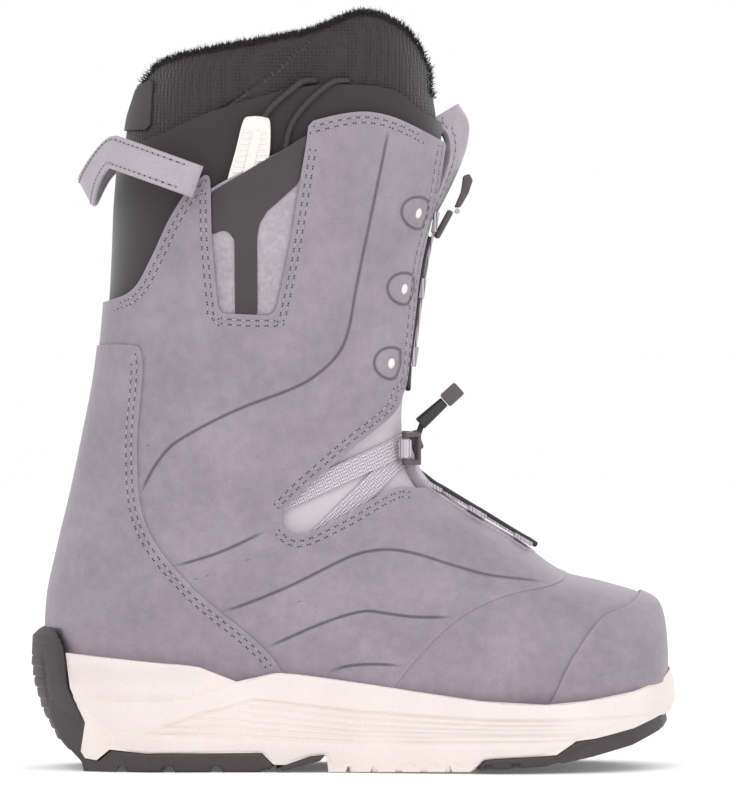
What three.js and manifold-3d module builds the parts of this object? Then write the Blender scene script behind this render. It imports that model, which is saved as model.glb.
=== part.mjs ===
// Snowboard boot, right foot. Millimetres, +X towards the toe, +Z up, outer (lateral) side at -Y.
// The origin is on the floor under the middle of the boot.
import * as THREE from 'three';
import { mergeVertices } from 'three/addons/utils/BufferGeometryUtils.js';
import Module from 'manifold-3d';

const wasm = await Module();
wasm.setup();

// ---- driving dimensions ----
const GAP = 0.3; // clearance between touching pieces
const LEATHER = 3.2; // thickness of the upper's panels
const COLLAR_IN = 3.5; // depth of the stretch collar's outer face under the upper's surface
const COLLAR_THICK = 2.8;
const STIFFENER_THICK = 2;
const LINER_FOOT_IN = 5.9; // depth of the liner's outer face in the foot
const LINER_FOOT_THICK = 6.4;
const LINER_LEG_IN = 6.8; // depth of the liner's outer face in the leg
const LINER_LEG_THICK = 7;
const FOOTBED = 4; // footbed thickness
const THROAT_HALF = 14; // half width of the lacing opening over the instep
const EYESTAY_HALF = 18; // half gap between the two eyestay edges up the shin
const LACE = 2.7; // lace diameter
const TONGUE_THICK = 2.6;
const FLEX_PIVOT = [-33, 113.5]; // x, z of the ankle flex axis, at the notch's rear end
const AROUND = 11; // facets round half of a section of the upper

// ---- the upper's surface, as a fan of sections from the toe round the heel to the top ----
// front x, front z, back x, back z, half width, centre y
const SECTIONS = [
  [138.5, 73, 140.5, 37, 20, 8], [130, 79.5, 134, 29, 35, 7],
  [112, 85, 115, 23, 46.5, 4],
  [93, 90, 92, 19.5, 52, 1.5],
  [76, 102, 62, 18.5, 53.5, 0],
  [59.5, 112, 30, 19.5, 50.5, -1],
  [43, 122.5, 0, 21.5, 45.5, -1.5],
  [31, 133, -38, 24, 42, -1],
  [25.5, 147, -82, 26.5, 41, 0],
  [24.5, 162, -122, 30, 41, 0],
  [26, 176, -138, 52, 41.5, 0],
  [27.5, 189, -139.5, 76, 42, 0],
  [29, 202, -134.5, 101, 42.5, 0],
  [30.5, 216, -128.5, 126, 43.5, 0],
  [32, 229, -123, 152, 45.5, 0],
  [34.5, 242, -118, 178, 48.5, 0],
  [37.5, 255, -115, 204, 51.5, 0],
  [40.5, 269, -113.5, 230, 54, 0],
  [43, 283, -112.5, 256, 56, 0],
  [44, 297, -110, 283, 57.5, 0],
  [43, 313, -106, 309, 58.5, 0],
  [42, 330, -102, 330, 59, 0],
  [41, 350, -99.5, 350, 59, 0],
];
const TOE_TIP = [141.5, 56, 8]; // x, z, y of the foremost point
const TOE_SHIFT = [0.85, 0.5, 0.2]; // how far the first sections move back as the surface is offset

// ---- outlines in the side view, x and z ----
const TOE_EDGE = [[137, 90], [126, 76], [111, 69], [100, 55], [94.5, 45.5], [84, 22]];
const OVERLAY_EDGE = [[97, 100], [94, 86], [69, 80], [49.5, 71.4], [33.5, 57.7], [17.5, 38.5], [6, 20]];
const COUNTER_EDGE = [[-135, 190], [-103.6, 192], [-95.6, 185], [-98, 145], [-94, 111.4], [-74, 84],
  [-44.5, 59], [-33, 45], [-24, 22]];
const CUFF_TOP = [[-135, 207], [-111, 212], [-99.5, 217.3], [-91.4, 231], [-81.4, 251.3], [-68.6, 266.8],
  [-36.4, 285.4], [-5.5, 295], [15, 294.5], [41, 283], [60, 272]];
const NOTCH_UPPER = [[60, 172], [22.3, 171], [17.3, 160.4], [-2.3, 144.5], [-23, 126.4], [-33, 117]];
const NOTCH_LOWER = [[-33, 110.5], [-24.5, 106.4], [-5, 115], [17.3, 127.3], [29.5, 127.3], [60, 127]];
const COLLAR_TOP = [[-130, 282], [-97, 283], [-63.6, 296.4], [-21.8, 307.2], [15, 306.5], [33, 295],
  [60, 285]];
const LINER_RIM = [[-130, 300], [-99, 309.5], [-84.5, 320.5], [-42.7, 328.6], [-20, 333], [4, 341.4],
  [22.7, 334], [33, 318], [36, 305], [60, 300]];
const POCKET = [[-64.5, 260], [-64, 239], [-61.4, 210], [-59.5, 206], [-38, 205], [-35, 208],
  [-28.6, 239],
  [-21.3, 284]]; // the pocket for the lace handle; its mouth is the line from the last point to the first
const HANDLE = [[-49.5, 292], [-53, 279], [-57.5, 263], [-60, 247], [-58.5, 241], [-50, 239.5],
  [-46, 243], [-41.5, 262], [-38, 276], [-37.5, 291], [-40, 293.6], [-46, 294]];
const UPPER_FOOT = [[-150, 34.5], [-122, 34.5], [-82, 31], [-38, 28.5], [30, 24.5], [62, 23.5],
  [92, 24.5], [115, 28], [134, 34], [155, 38]]; // where the upper's panels end inside the midsole

// sole: side view
const MIDSOLE_TOP = [[-131, 53], [-93, 49.5], [-70.4, 47.3], [-53.6, 40.8], [-41, 43.6], [-29.5, 44.5],
  [9, 39.5], [56.8, 32.7], [86, 31], [105.4, 32.7], [126.4, 36.4], [140.4, 41], [144.5, 45.5]];
const MIDSOLE_TOE = [[146.2, 31.4], [145, 27.5], [141, 24.6]];
const TOE_RUBBER_TOP = [[139, 24.5], [126.4, 19.5], [109, 15.5], [100, 14.5], [91, 8.4], [58, 6.4]];
const TOE_RUBBER_BOTTOM = [[55.5, 1.6], [84.5, 3.4], [105, 6.6], [126.4, 11.8], [140, 17.8], [141.8, 21]];
const HEEL_RUBBER_TOP = [[-122.5, 5.9], [-117, 5], [-111, 10], [-93, 8.3], [-42, 8.6], [-37, 3.6]];
const GUARD_FRONT = [[-135.5, 64], [-133, 58], [-131.6, 53.2], [-129.5, 37.3], [-122.5, 22], [-124.5, 9]];
const GUARD_BACK = [[-125, 4.2], [-134, 13], [-141, 26], [-145, 39.5], [-146.4, 51], [-146, 60],
  [-142, 64]];
const ARCH_INSERT = [[-36, 1.6], [-31.8, 0.6], [-15.5, 5.2], [-13, 8], [-20, 7.3], [-31.4, 3.2]];
const LUG_DEPTH = 2.6;
// sole: seen from above, outer side then inner side, x and y
const SOLE_OUTER = [[-146.4, 0], [-139, -20], [-122, -35.5], [-95, -43.5], [-45, -42.5], [0, -47],
  [40, -55], [75, -58], [105, -52], [128, -37], [141, -17]];
const SOLE_INNER = [[146.4, 9], [142, 27], [128, 44.5], [105, 55], [75, 56.5], [40, 51], [0, 42],
  [-45, 40], [-95, 43], [-122, 35.5], [-139, 20]];

// ---- colours ----
const LOOKS = {
  leather: [0x9f93a0, 0.6, 0],
  leatherPale: [0xc4b9c4, 0.6, 0],
  rubber: [0x3a3233, 0.8, 0],
  foam: [0xf4ece6, 0.8, 0],
  board: [0xb9a585, 0.8, 0],
  black: [0x2b2628, 0.9, 0],
  pile: [0x1f1c1d, 1, 0],
  fabric: [0xb9afb9, 0.7, 0],
  webbing: [0xb0a6ae, 0.8, 0],
  plastic: [0x4a4045, 0.45, 0],
  handle: [0xf2e9e5, 0.5, 0],
  steel: [0x9a9a9c, 0.35, 1],
};

const boot = new THREE.Group();

function add(name, look, geometry) {
  const [color, roughness, metalness] = LOOKS[look];
  const mesh = new THREE.Mesh(geometry, new THREE.MeshStandardMaterial({ color, roughness, metalness }));
  mesh.name = name;
  boot.add(mesh);
  return mesh;
}

// ---- solids ----
function toSolid(geometry) {
  const bare = geometry.clone();
  bare.deleteAttribute('normal');
  bare.deleteAttribute('uv');
  const merged = mergeVertices(bare, 1e-4);
  return new wasm.Manifold(new wasm.Mesh({
    numProp: 3,
    vertProperties: new Float32Array(merged.attributes.position.array),
    triVerts: new Uint32Array(merged.index.array),
  }));
}

function toGeometry(solid) {
  const mesh = solid.getMesh();
  const geometry = new THREE.BufferGeometry();
  geometry.setAttribute('position', new THREE.BufferAttribute(new Float32Array(mesh.vertProperties), 3));
  geometry.setIndex(new THREE.BufferAttribute(new Uint32Array(mesh.triVerts), 1));
  geometry.computeVertexNormals();
  return geometry;
}

// the largest of the separate bodies that a cut leaves
function largest(solid) {
  const bodies = solid.decompose();
  return bodies.reduce((best, body) => (body.volume() > best.volume() ? body : best));
}

// a closed skin over rings of points; the first ring may be a single point
function loft(rings) {
  const positions = [];
  const index = [];
  const count = rings[rings.length - 1].length;
  const starts = rings.map((ring) => {
    const start = positions.length / 3;
    ring.forEach((p) => positions.push(p.x, p.y, p.z));
    return start;
  });
  for (let i = 1; i < rings.length; i += 1) {
    for (let j = 0; j < count; j += 1) {
      const k = (j + 1) % count;
      const [a, b] = [starts[i - 1], starts[i]];
      if (rings[i - 1].length === 1) {
        index.push(a, b + j, b + k);
      } else {
        index.push(a + j, b + j, b + k, a + j, b + k, a + k);
      }
    }
  }
  const capRing = (start, ring, flip) => {
    if (ring.length === 1) {
      return;
    }
    const centre = ring.reduce((sum, p) => sum.add(p), new THREE.Vector3()).divideScalar(ring.length);
    const c = positions.length / 3;
    positions.push(centre.x, centre.y, centre.z);
    for (let j = 0; j < count; j += 1) {
      const k = (j + 1) % count;
      index.push(...(flip ? [c, start + j, start + k] : [c, start + k, start + j]));
    }
  };
  capRing(starts[0], rings[0], true);
  capRing(starts[starts.length - 1], rings[rings.length - 1], false);
  const geometry = new THREE.BufferGeometry();
  geometry.setAttribute('position', new THREE.Float32BufferAttribute(positions, 3));
  geometry.setIndex(signedVolume(positions, index) < 0 ? index.reverse() : index);
  return geometry;
}

function signedVolume(positions, index) {
  let sum = 0;
  const corner = (i) => new THREE.Vector3().fromArray(positions, 3 * index[i]);
  for (let i = 0; i < index.length; i += 3) {
    sum += corner(i).dot(corner(i + 1).cross(corner(i + 2)));
  }
  return sum;
}

const smooth = (t) => THREE.MathUtils.smoothstep(t, 0, 1);

// one section of the upper, moved in by depth
function sectionRing(section, i, depth) {
  const [frontX, frontZ, backX, backZ, half, centreY] = section;
  const back = new THREE.Vector2(backX, backZ);
  const chord = new THREE.Vector2(frontX, frontZ).sub(back);
  const length = chord.length();
  chord.divideScalar(length);
  const shaft = smooth((i - 5) / 6); // 0 in the foot, 1 in the shaft
  const widest = THREE.MathUtils.lerp(0.36, 0.5, shaft);
  const frontPower = THREE.MathUtils.lerp(2.1, 2.9, shaft);
  const backPower = THREE.MathUtils.lerp(3.2, 2.3, shaft);
  const shift = (TOE_SHIFT[i] ?? 0) * depth;
  const ring = [];
  for (let j = 0; j < 2 * AROUND; j += 1) {
    const angle = (Math.PI * j) / AROUND;
    const c = Math.cos(angle);
    const s = Math.sin(angle);
    const power = 2 / (c >= 0 ? frontPower : backPower);
    const span = length - 2 * depth;
    const reach = c >= 0 ? (1 - widest) * span : widest * span;
    const along = depth + widest * span + Math.sign(c) * reach * Math.abs(c) ** power;
    const out = (half - depth) * Math.sign(s) * Math.abs(s) ** power;
    ring.push(new THREE.Vector3(back.x + chord.x * along - shift, centreY - out,
      back.y + chord.y * along));
  }
  return ring;
}

const lasts = new Map(); // solids inside the upper's surface, by depth and top
function last(depth, top = 0) {
  const key = `${depth} ${top}`;
  if (!lasts.has(key)) {
    const rings = SECTIONS.map((section, i) => sectionRing(section, i, depth));
    rings[rings.length - 1].forEach((p) => {
      p.z += top;
    });
    const tip = [new THREE.Vector3(TOE_TIP[0] - depth, TOE_TIP[2], TOE_TIP[1])];
    lasts.set(key, toSolid(loft([tip, ...rings])));
  }
  return lasts.get(key);
}

const skin = (outer, inner) => last(outer).subtract(last(inner, 20));

// points of a smooth line through the given ones
function curve(points, count = 2) {
  const spline = new THREE.SplineCurve(points.map(([x, y]) => new THREE.Vector2(x, y)));
  return spline.getPoints((points.length - 1) * count).map((p) => [p.x, p.y]);
}

// moves a closed outline in by a distance
function inset(outline, distance) {
  const pts = outline.map(([x, y]) => new THREE.Vector2(x, y));
  const turn = THREE.ShapeUtils.isClockWise(pts) ? -1 : 1;
  return pts.map((p, i) => {
    const before = pts[(i + pts.length - 1) % pts.length];
    const after = pts[(i + 1) % pts.length];
    const a = p.clone().sub(before).normalize();
    const b = after.clone().sub(p).normalize();
    const normal = new THREE.Vector2(-(a.y + b.y), a.x + b.x).normalize().multiplyScalar(turn);
    const reach = distance / Math.max(Math.abs(normal.x * a.y - normal.y * a.x), 0.5);
    return [p.x + normal.x * reach, p.y + normal.y * reach];
  });
}

const shapeOf = (outline) => new THREE.Shape(outline.map(([x, y]) => new THREE.Vector2(x, y)));

// an outline in the side view, drawn across y
function sidePrism(outline, fromY = -90, toY = 90) {
  const geometry = new THREE.ExtrudeGeometry(shapeOf(outline), { depth: toY - fromY,
    bevelEnabled: false });
  geometry.rotateX(Math.PI / 2).translate(0, toY, 0);
  return toSolid(geometry);
}

// an outline seen from above, drawn up z
function planPrism(outline, fromZ, toZ) {
  const geometry = new THREE.ExtrudeGeometry(shapeOf(outline), { depth: toZ - fromZ,
    bevelEnabled: false });
  return toSolid(geometry.translate(0, 0, fromZ));
}

function block(width, depth, height, x, y, z) {
  return toSolid(new THREE.BoxGeometry(width, depth, height).translate(x, y, z));
}

const side = (sign) => block(400, 200, 400, 0, sign * (100 + GAP / 2), 200); // -1 outer, 1 inner
const SIDES = [['lateral', -1], ['medial', 1]];

// where a level line across the boot meets the upper's surface moved in by depth
const caster = new THREE.Raycaster();
function surfaceY(x, z, sign, depth = 0) {
  const mesh = new THREE.Mesh(toGeometry(last(depth)));
  caster.set(new THREE.Vector3(x, sign * 200, z), new THREE.Vector3(0, -sign, 0));
  return caster.intersectObject(mesh)[0].point.y;
}

// ---- sole ----
const soleOutline = curve([...SOLE_OUTER, ...SOLE_INNER, SOLE_OUTER[0]], 2).slice(0, -1);

// the bottom of a tread: blocks of one pitch with slots between, along x
function tread(fromX, toX, fromZ, toZ, blocks) {
  const pitch = (toX - fromX) / blocks;
  const line = [];
  for (let i = 0; i < blocks; i += 1) {
    const x = fromX + i * pitch;
    const z = (at) => THREE.MathUtils.lerp(fromZ, toZ, (at - fromX) / (toX - fromX));
    const end = x + pitch * 0.72;
    line.push([x, z(x)], [end, z(end)]);
    if (i < blocks - 1) {
      line.push([end + 0.8, z(end) + LUG_DEPTH], [x + pitch - 0.8, z(x + pitch) + LUG_DEPTH]);
    }
  }
  return line;
}

function makeSole() {
  const plan = planPrism(soleOutline, -1, 70);
  const tray = last(-GAP);
  const cut = (outline) => plan.intersect(sidePrism(inset(outline, GAP / 2)));

  const heelBottom = tread(-124, -38, -GAP / 2, -GAP / 2, 4);
  const heel = [...heelBottom, [-36.5, 2.6], ...[...HEEL_RUBBER_TOP].reverse(),
    ...[...GUARD_FRONT].reverse(),
    ...[...GUARD_BACK].reverse()];
  add('outsole_heel', 'rubber', toGeometry(largest(cut(heel).subtract(tray))));

  const toe = [...TOE_RUBBER_BOTTOM, ...TOE_RUBBER_TOP];
  add('outsole_toe', 'rubber', toGeometry(cut(toe)));
  add('arch_insert', 'rubber', toGeometry(cut(ARCH_INSERT)));

  const foamLugs = tread(-12, 55, 0.2, 1, 6);
  const midsole = [...GUARD_FRONT.slice(2), ...HEEL_RUBBER_TOP, [-36.5, 3.4], [-31.4, 3.2], [-20, 7.3],
    [-13, 8],
    ...foamLugs, ...[...TOE_RUBBER_TOP].reverse(), ...[...MIDSOLE_TOE].reverse(),
    ...[...MIDSOLE_TOP].reverse().slice(0, -1)];
  const cushionSeat = heelCushionSolid(0);
  add('midsole', 'foam', toGeometry(largest(cut(midsole).subtract(tray).subtract(cushionSeat))));
  add('heel_cushion', 'webbing', toGeometry(heelCushionSolid(GAP)));
}

// a shock pad let into the midsole under the heel, up to the upper's floor
function heelCushionSolid(clearance) {
  const half = 22 - clearance;
  const low = 13 + clearance;
  const geometry = new THREE.CylinderGeometry(half, half, 40, 24).rotateX(Math.PI / 2);
  const pad = toSolid(geometry.scale(1.1, 1, 1).translate(-95, 0, low + 20));
  return pad.subtract(last(-GAP - clearance)).intersect(block(100, 100, 30, -95, 0, 15));
}

// ---- upper: foot ----
const floorLine = (lift) => UPPER_FOOT.map(([x, z]) => [x, z + lift]);

function makeFootUpper() {
  const shell = skin(0, LEATHER);
  const toeEdge = curve(TOE_EDGE);
  const overlayEdge = curve(OVERLAY_EDGE);
  const counterEdge = curve(COUNTER_EDGE);
  const panel = (outline) => shell.intersect(sidePrism(inset(outline, GAP / 2)));
  const floor = sidePrism([...floorLine(-GAP), [155, 0], [-150, 0]]);
  const upper = (outline) => panel(outline).subtract(floor);

  add('toe_cap', 'leather', toGeometry(largest(upper([...toeEdge, [155, 22], [155, 90]]))));
  const vamp = upper([...overlayEdge, ...[...toeEdge].reverse()]);
  add('vamp', 'leather', toGeometry(largest(vamp)));
  const counter = upper([...counterEdge, [-150, 20], [-150, 190]]);
  add('heel_counter', 'leather', toGeometry(largest(counter)));

  const split = counterEdge.findIndex(([, z], i) => i > 3 && z < FLEX_PIVOT[1]);
  const quarter = upper([...curve(NOTCH_LOWER), [97, 127], ...overlayEdge,
    ...[...counterEdge].slice(split).reverse(),
    [-94.6, FLEX_PIVOT[1] - 0.3], [-36, FLEX_PIVOT[1] - 0.3]]);
  const throat = throatPrism();
  SIDES.forEach(([name, sign]) => {
    const half = quarter.intersect(side(sign)).subtract(throat);
    add(`quarter_${name}`, 'leather', toGeometry(largest(half)));
  });

  const board = shell.intersect(sidePrism([...floorLine(-2 * GAP), [155, 0], [-150, 0]]));
  add('lasting_board', 'board', toGeometry(largest(board)));
}

// the lacing opening over the instep, with a round end towards the toe
function throatPrism(half = THROAT_HALF) {
  const outline = [[-20, -half], [68, -half]];
  for (let i = 1; i < 6; i += 1) {
    const angle = -Math.PI / 2 + (Math.PI * i) / 6;
    outline.push([68 + half * Math.cos(angle), half * Math.sin(angle)]);
  }
  outline.push([68, half], [-20, half]);
  return planPrism(outline, 80, 150);
}


// a flat strip along a line in the side view
function band([x0, z0], [x1, z1], width) {
  const along = new THREE.Vector2(x1 - x0, z1 - z0).normalize();
  const [dx, dz] = [-along.y * (width / 2), along.x * (width / 2)];
  return [[x0 - dx, z0 - dz], [x1 - dx, z1 - dz], [x1 + dx, z1 + dz], [x0 + dx, z0 + dz]];
}

function makeAnkle() {
  const notch = sidePrism(inset([...curve(NOTCH_UPPER), ...curve(NOTCH_LOWER)].slice(0, -1), 0.5));
  const layer = (outer, inner, outline) => skin(outer,
    inner).intersect(sidePrism(outline)).intersect(notch);
  const open = block(100, 2 * THROAT_HALF, 200, 50, 0, 140);
  const lining = [[-36, 100], [40, 100], [40, 180], [-36, 180]];
  SIDES.forEach(([name, sign]) => {
    const part = (solid) => toGeometry(largest(solid.intersect(side(sign)).subtract(open)));
    add(`notch_lining_${name}`, 'fabric', part(layer(4.4, 5.5, lining)));
    add(`ankle_strap_upper_${name}`, 'webbing', part(layer(0.6, 2.2, band([20, 146], [-30, 123], 9))));
    add(`ankle_strap_lower_${name}`, 'webbing', part(layer(2.5, 4.1, band([20, 142], [-18, 104], 9))));
    makeAnkleRing(name, sign);
  });
  const pad = skin(1, 5).intersect(throatPrism(THROAT_HALF - GAP));
  const padOutline = [[2, 84], [80, 84], [84, 96], [60, 122], [34, 146], [2, 146]];
  add('lower_tongue', 'leatherPale', toGeometry(largest(pad.intersect(sidePrism(padOutline)))));
}

// the frame that the two ankle straps meet in
function makeAnkleRing(name, sign) {
  const shape = shapeOf([[-6, -7.5], [6, -7.5], [6, 7.5], [-6, 7.5]]);
  shape.holes.push(new THREE.Path([[-3.7, -5], [3.7, -5], [3.7, 5],
    [-3.7, 5]].map(([x, y]) => new THREE.Vector2(x, y))));
  const geometry = new THREE.ExtrudeGeometry(shape, { depth: 3, bevelEnabled: false });
  geometry.translate(0, 0, -1.5).rotateX(Math.PI / 2);
  const ring = add(`ankle_ring_${name}`, 'plastic', geometry);
  ring.rotation.set(0, 0, -sign * 0.95);
  ring.position.set(25.6, sign * 17.2, 145);
}

// ---- upper: cuff ----
function makeCuff() {
  const shell = skin(0, LEATHER);
  const counterEdge = curve(COUNTER_EDGE);
  const split = counterEdge.findIndex(([, z], i) => i > 3 && z < FLEX_PIVOT[1]);
  const outline = [...curve(CUFF_TOP), ...curve(NOTCH_UPPER), [-36, FLEX_PIVOT[1] + 0.3],
    [-94.4, FLEX_PIVOT[1] + 0.3],
    ...counterEdge.slice(0, split).reverse()];
  const cuff = shell.intersect(sidePrism(inset(outline, GAP / 2)));
  const eyestayGap = block(100, 2 * EYESTAY_HALF, 240, 50, 0, 240);
  const window = sidePrism([[-66, 280], ...POCKET, [-19, 305]]);
  SIDES.forEach(([name, sign]) => {
    const half = cuff.intersect(side(sign)).subtract(eyestayGap).subtract(window);
    add(`cuff_${name}`, 'leather', toGeometry(largest(half)));
    makePocket(name, sign);
    makeHandle(name, sign);
    makeHandLaces(name, sign);
    makeEyestay(name, sign);
  });

  const collar = [...curve(COLLAR_TOP), [60, 198], [-130, 198]];
  const neck = skin(COLLAR_IN, COLLAR_IN + COLLAR_THICK).intersect(sidePrism(collar));
  const front = block(100, 48, 240, 60, 0, 260);
  add('collar', 'black', toGeometry(largest(neck.subtract(front))));
  makePullLoop();
}

// a pouch let into the cuff: front and back walls, open at the mouth
function makePocket(name, sign) {
  const outer = sidePrism(inset(POCKET, GAP));
  const hollow = [...inset(POCKET, 1.5).slice(1, -1), [-22, 300], [-66, 275]];
  const pouch = skin(-4, 2.6).intersect(outer).subtract(skin(-3, 1.6).intersect(sidePrism(hollow)));
  add(`pocket_${name}`, 'fabric', toGeometry(largest(pouch.intersect(side(sign)))));
}

// the moulded pull that ends the two hand laces, standing in its pocket
const HANDLE_THICK = 2;
const HANDLE_PIVOT = [-50, 262];
const HANDLE_LEAN = [-56, 240, -43, 293]; // the middle line, bottom and top
function handleTilt(sign) {
  const [x0, z0, x1, z1] = HANDLE_LEAN;
  const rise = Math.abs(surfaceY(x1, z1 - 12, sign)) - Math.abs(surfaceY(x0, z0, sign));
  return Math.atan2(rise, z1 - 12 - z0);
}

function makeHandle(name, sign) {
  const [px, pz] = HANDLE_PIVOT;
  const geometry = new THREE.ExtrudeGeometry(shapeOf(HANDLE), { depth: HANDLE_THICK,
    bevelEnabled: false });
  geometry.translate(-px, -pz, -HANDLE_THICK / 2).rotateX(Math.PI / 2).rotateX(-sign * handleTilt(sign));
  const handle = add(`lace_handle_${name}`, 'handle', geometry);
  handle.position.set(px, surfaceY(px, pz, sign, -0.7), pz);
}

// a round cord along given points
function cord(points, diameter, stepLength, sides = 8) {
  const path = new THREE.CatmullRomCurve3(points.map((p) => new THREE.Vector3(...p)), false,
    'centripetal');
  const shape = new THREE.Shape();
  for (let i = 0; i < sides; i += 1) {
    const angle = (2 * Math.PI * i) / sides;
    shape[i ? 'lineTo' : 'moveTo']((diameter / 2) * Math.cos(angle), (diameter / 2) * Math.sin(angle));
  }
  const steps = Math.ceil(path.getLength() / stepLength);
  return new THREE.ExtrudeGeometry(shape, { extrudePath: path, steps, bevelEnabled: false });
}

const HAND_LACES = [
  [[-47, 279, 2], [-44, 288, 1.9], [-38, 297, 1.9], [-29, 305, 1.7], [-23, 309.2, 2.6], [-18, 310, 4.4]],
  [[-30, 287, 1.9], [-27, 293, 1.9], [-21, 300, 1.9], [-13, 307, 1.7], [-8, 309.4, 2.8], [-3, 310, 4.6]],
]; // x, z, depth under the upper's surface

function makeHandLaces(name, sign) {
  HAND_LACES.forEach((points, i) => {
    const route = points.map(([x, z, depth]) => [x, surfaceY(x, z, sign, depth), z]);
    add(`hand_lace_${name}_${i + 1}`, 'black', cord(route, LACE, 6));
  });
}

// one band of webbing that stands out in a lace guide at each of the given places
function webbing(places, [width, depth, height], turn) {
  const path = places.map((p) => new THREE.Vector3(...p));
  const across = () => new THREE.Vector3(0, 1, 0);
  const strip = toSolid(strapLoft(path, 3, 1, across));
  return toGeometry(places.reduce((whole, [x, y, z]) => {
    const loop = new THREE.BoxGeometry(width, depth, height).rotateY(turn).translate(x, y, z);
    return whole.add(toSolid(loop));
  }, strip));
}

// rivets and webbing guides down the edge of the eyestay
const GUIDES = [[36.4, 247], [30.6, 217], [27, 186]]; // front of the upper and height of each guide
const RIVETS = [[28.6, 251], [22.3, 217], [16.4, 183]]; // side view
function makeEyestay(name, sign) {
  const loops = GUIDES.map(([x, z]) => [x + 2.1, sign * (EYESTAY_HALF - 4.4), z]);
  add(`eyestay_webbing_${name}`, 'webbing', webbing(loops, [2.4, 8, 9], 0.15));
  RIVETS.forEach(([x, z], i) => {
    const rivet = add(`eyestay_rivet_${name}_${i + 1}`, 'handle', new THREE.CylinderGeometry(1.7, 2.1,
      1, 16));
    const here = new THREE.Vector3(x, surfaceY(x, z, sign), z);
    const fore = new THREE.Vector3(x + 1, surfaceY(x + 1, z, sign), z).sub(here);
    const up = new THREE.Vector3(x, surfaceY(x, z + 4, sign), z + 4).sub(here);
    const normal = new THREE.Vector3().crossVectors(fore, up).normalize().multiplyScalar(-sign);
    normal.y = sign * Math.abs(normal.y);
    rivet.quaternion.setFromUnitVectors(new THREE.Vector3(0, 1, 0), normal);
    rivet.position.copy(here).addScaledVector(normal, 1);
  });
}

// a flat band with a rectangular section along a path; width runs along the given direction
function strapLoft(path, width, thickness, lean) {
  const rings = path.map((p, i) => {
    const before = path[Math.max(i - 1, 0)];
    const after = path[Math.min(i + 1, path.length - 1)];
    const forward = after.clone().sub(before).normalize();
    const wide = lean(i / (path.length - 1)).normalize();
    const out = new THREE.Vector3().crossVectors(forward, wide).normalize();
    const corner = (a, b) => p.clone().addScaledVector(wide, a * width * 0.5).addScaledVector(out,
      b * thickness * 0.5);
    return [corner(-1, -1), corner(1, -1), corner(1, 1), corner(-1, 1)];
  });
  return loft(rings);
}

const LOOP_ENDS = [-70, 264.5]; // where the loop is sewn to the cuff's edge
const LOOP_BACK = [-121.5, 270]; // the middle of the loop behind the collar
function makePullLoop() {
  const path = [];
  const steps = 24;
  for (let i = 0; i <= steps; i += 1) {
    const angle = Math.PI * (i / steps - 0.5);
    const reach = Math.cos(angle) ** 0.75;
    const x = THREE.MathUtils.lerp(LOOP_ENDS[0], LOOP_BACK[0], reach);
    const z = THREE.MathUtils.lerp(LOOP_ENDS[1], LOOP_BACK[1], reach);
    path.push(new THREE.Vector3(x, 59 * Math.sign(angle) * Math.abs(Math.sin(angle)) ** 0.9, z));
  }
  const lean = () => new THREE.Vector3(0.25, 0, 1);
  add('pull_loop', 'leather', strapLoft(path, 14, 2.4, lean));
}

// ---- tongue ----
// front x at the middle, z, half width, how far the edges fall back
const TONGUE = [[23.7, 165, 13, 0.8], [26, 186, 15, 0.9], [28.6, 208, 15.5, 1], [31, 229, 16, 1.1],
  [34.6, 243, 16, 1.6], [39.4, 252, 16.5, 3], [43.5, 261, 17, 4], [48.6, 275, 17, 5],
  [51.6, 287, 17, 6], [50.6, 296, 16, 6],
  [45, 302.4, 13, 4]];

function tongueLayer(from, to, shrink) {
  const steps = 8;
  const rings = TONGUE.map(([x, z, half, fall], i) => {
    const next = TONGUE[Math.min(i + 1, TONGUE.length - 1)];
    const before = TONGUE[Math.max(i - 1, 0)];
    const slope = new THREE.Vector2(next[0] - before[0], next[1] - before[1]).normalize();
    const row = (depth, flip) => Array.from({ length: steps + 1 }, (_, j) => {
      const s = (flip ? -1 : 1) * ((2 * j) / steps - 1);
      const inward = fall * s * s + depth;
      return new THREE.Vector3(x - slope.y * inward, s * (half - shrink), z + slope.x * inward);
    });
    return [...row(from, false), ...row(to, true)];
  });
  return loft(rings);
}

function makeTongue() {
  add('tongue', 'leather', tongueLayer(0, TONGUE_THICK, 0));
  const layer = toSolid(tongueLayer(TONGUE_THICK + GAP, TONGUE_THICK + 1.2, 2));
  const stiffener = layer.intersect(block(100, 60, 120, 30, 0, 229));
  add('tongue_stiffener', 'plastic', toGeometry(largest(stiffener)));
  makeUpperLock();
  const lace = [];
  const turns = [[34.6, 236.5, 7], [32.6, 221, -7], [31.8, 213, -7], [29.4, 190, 7], [28.8, 182, 7],
    [28.2, 172, -6]];
  turns.forEach(([x, z, y]) => lace.push([x + 1.2, y, z]));
  add('upper_lace', 'black', cord(lace, LACE, 5));
}

const LOCK_PIVOT = [46.5, 252.5];
function makeUpperLock() {
  const base = add('upper_lock_body', 'plastic', new THREE.BoxGeometry(3, 18, 14));
  base.position.set(40.2, 0, 246.6);
  base.rotation.y = 0.5;
  const lever = new THREE.ExtrudeGeometry(
    shapeOf([[-1.4, 1.8], [1.4, 1.8], [5, 8], [7, 14], [5.4, 17], [2.6, 16], [1.6, 9]]),
    { depth: 15, bevelEnabled: false },
  );
  lever.translate(0, 0, -7.5).rotateX(Math.PI / 2);
  add('upper_lock_lever', 'plastic', lever).position.set(LOCK_PIVOT[0], 0, LOCK_PIVOT[1]);
  const pin = add('upper_lock_pin', 'steel', new THREE.CylinderGeometry(1.2, 1.2, 16, 16));
  pin.position.set(LOCK_PIVOT[0], 0, LOCK_PIVOT[1]);
}

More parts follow.
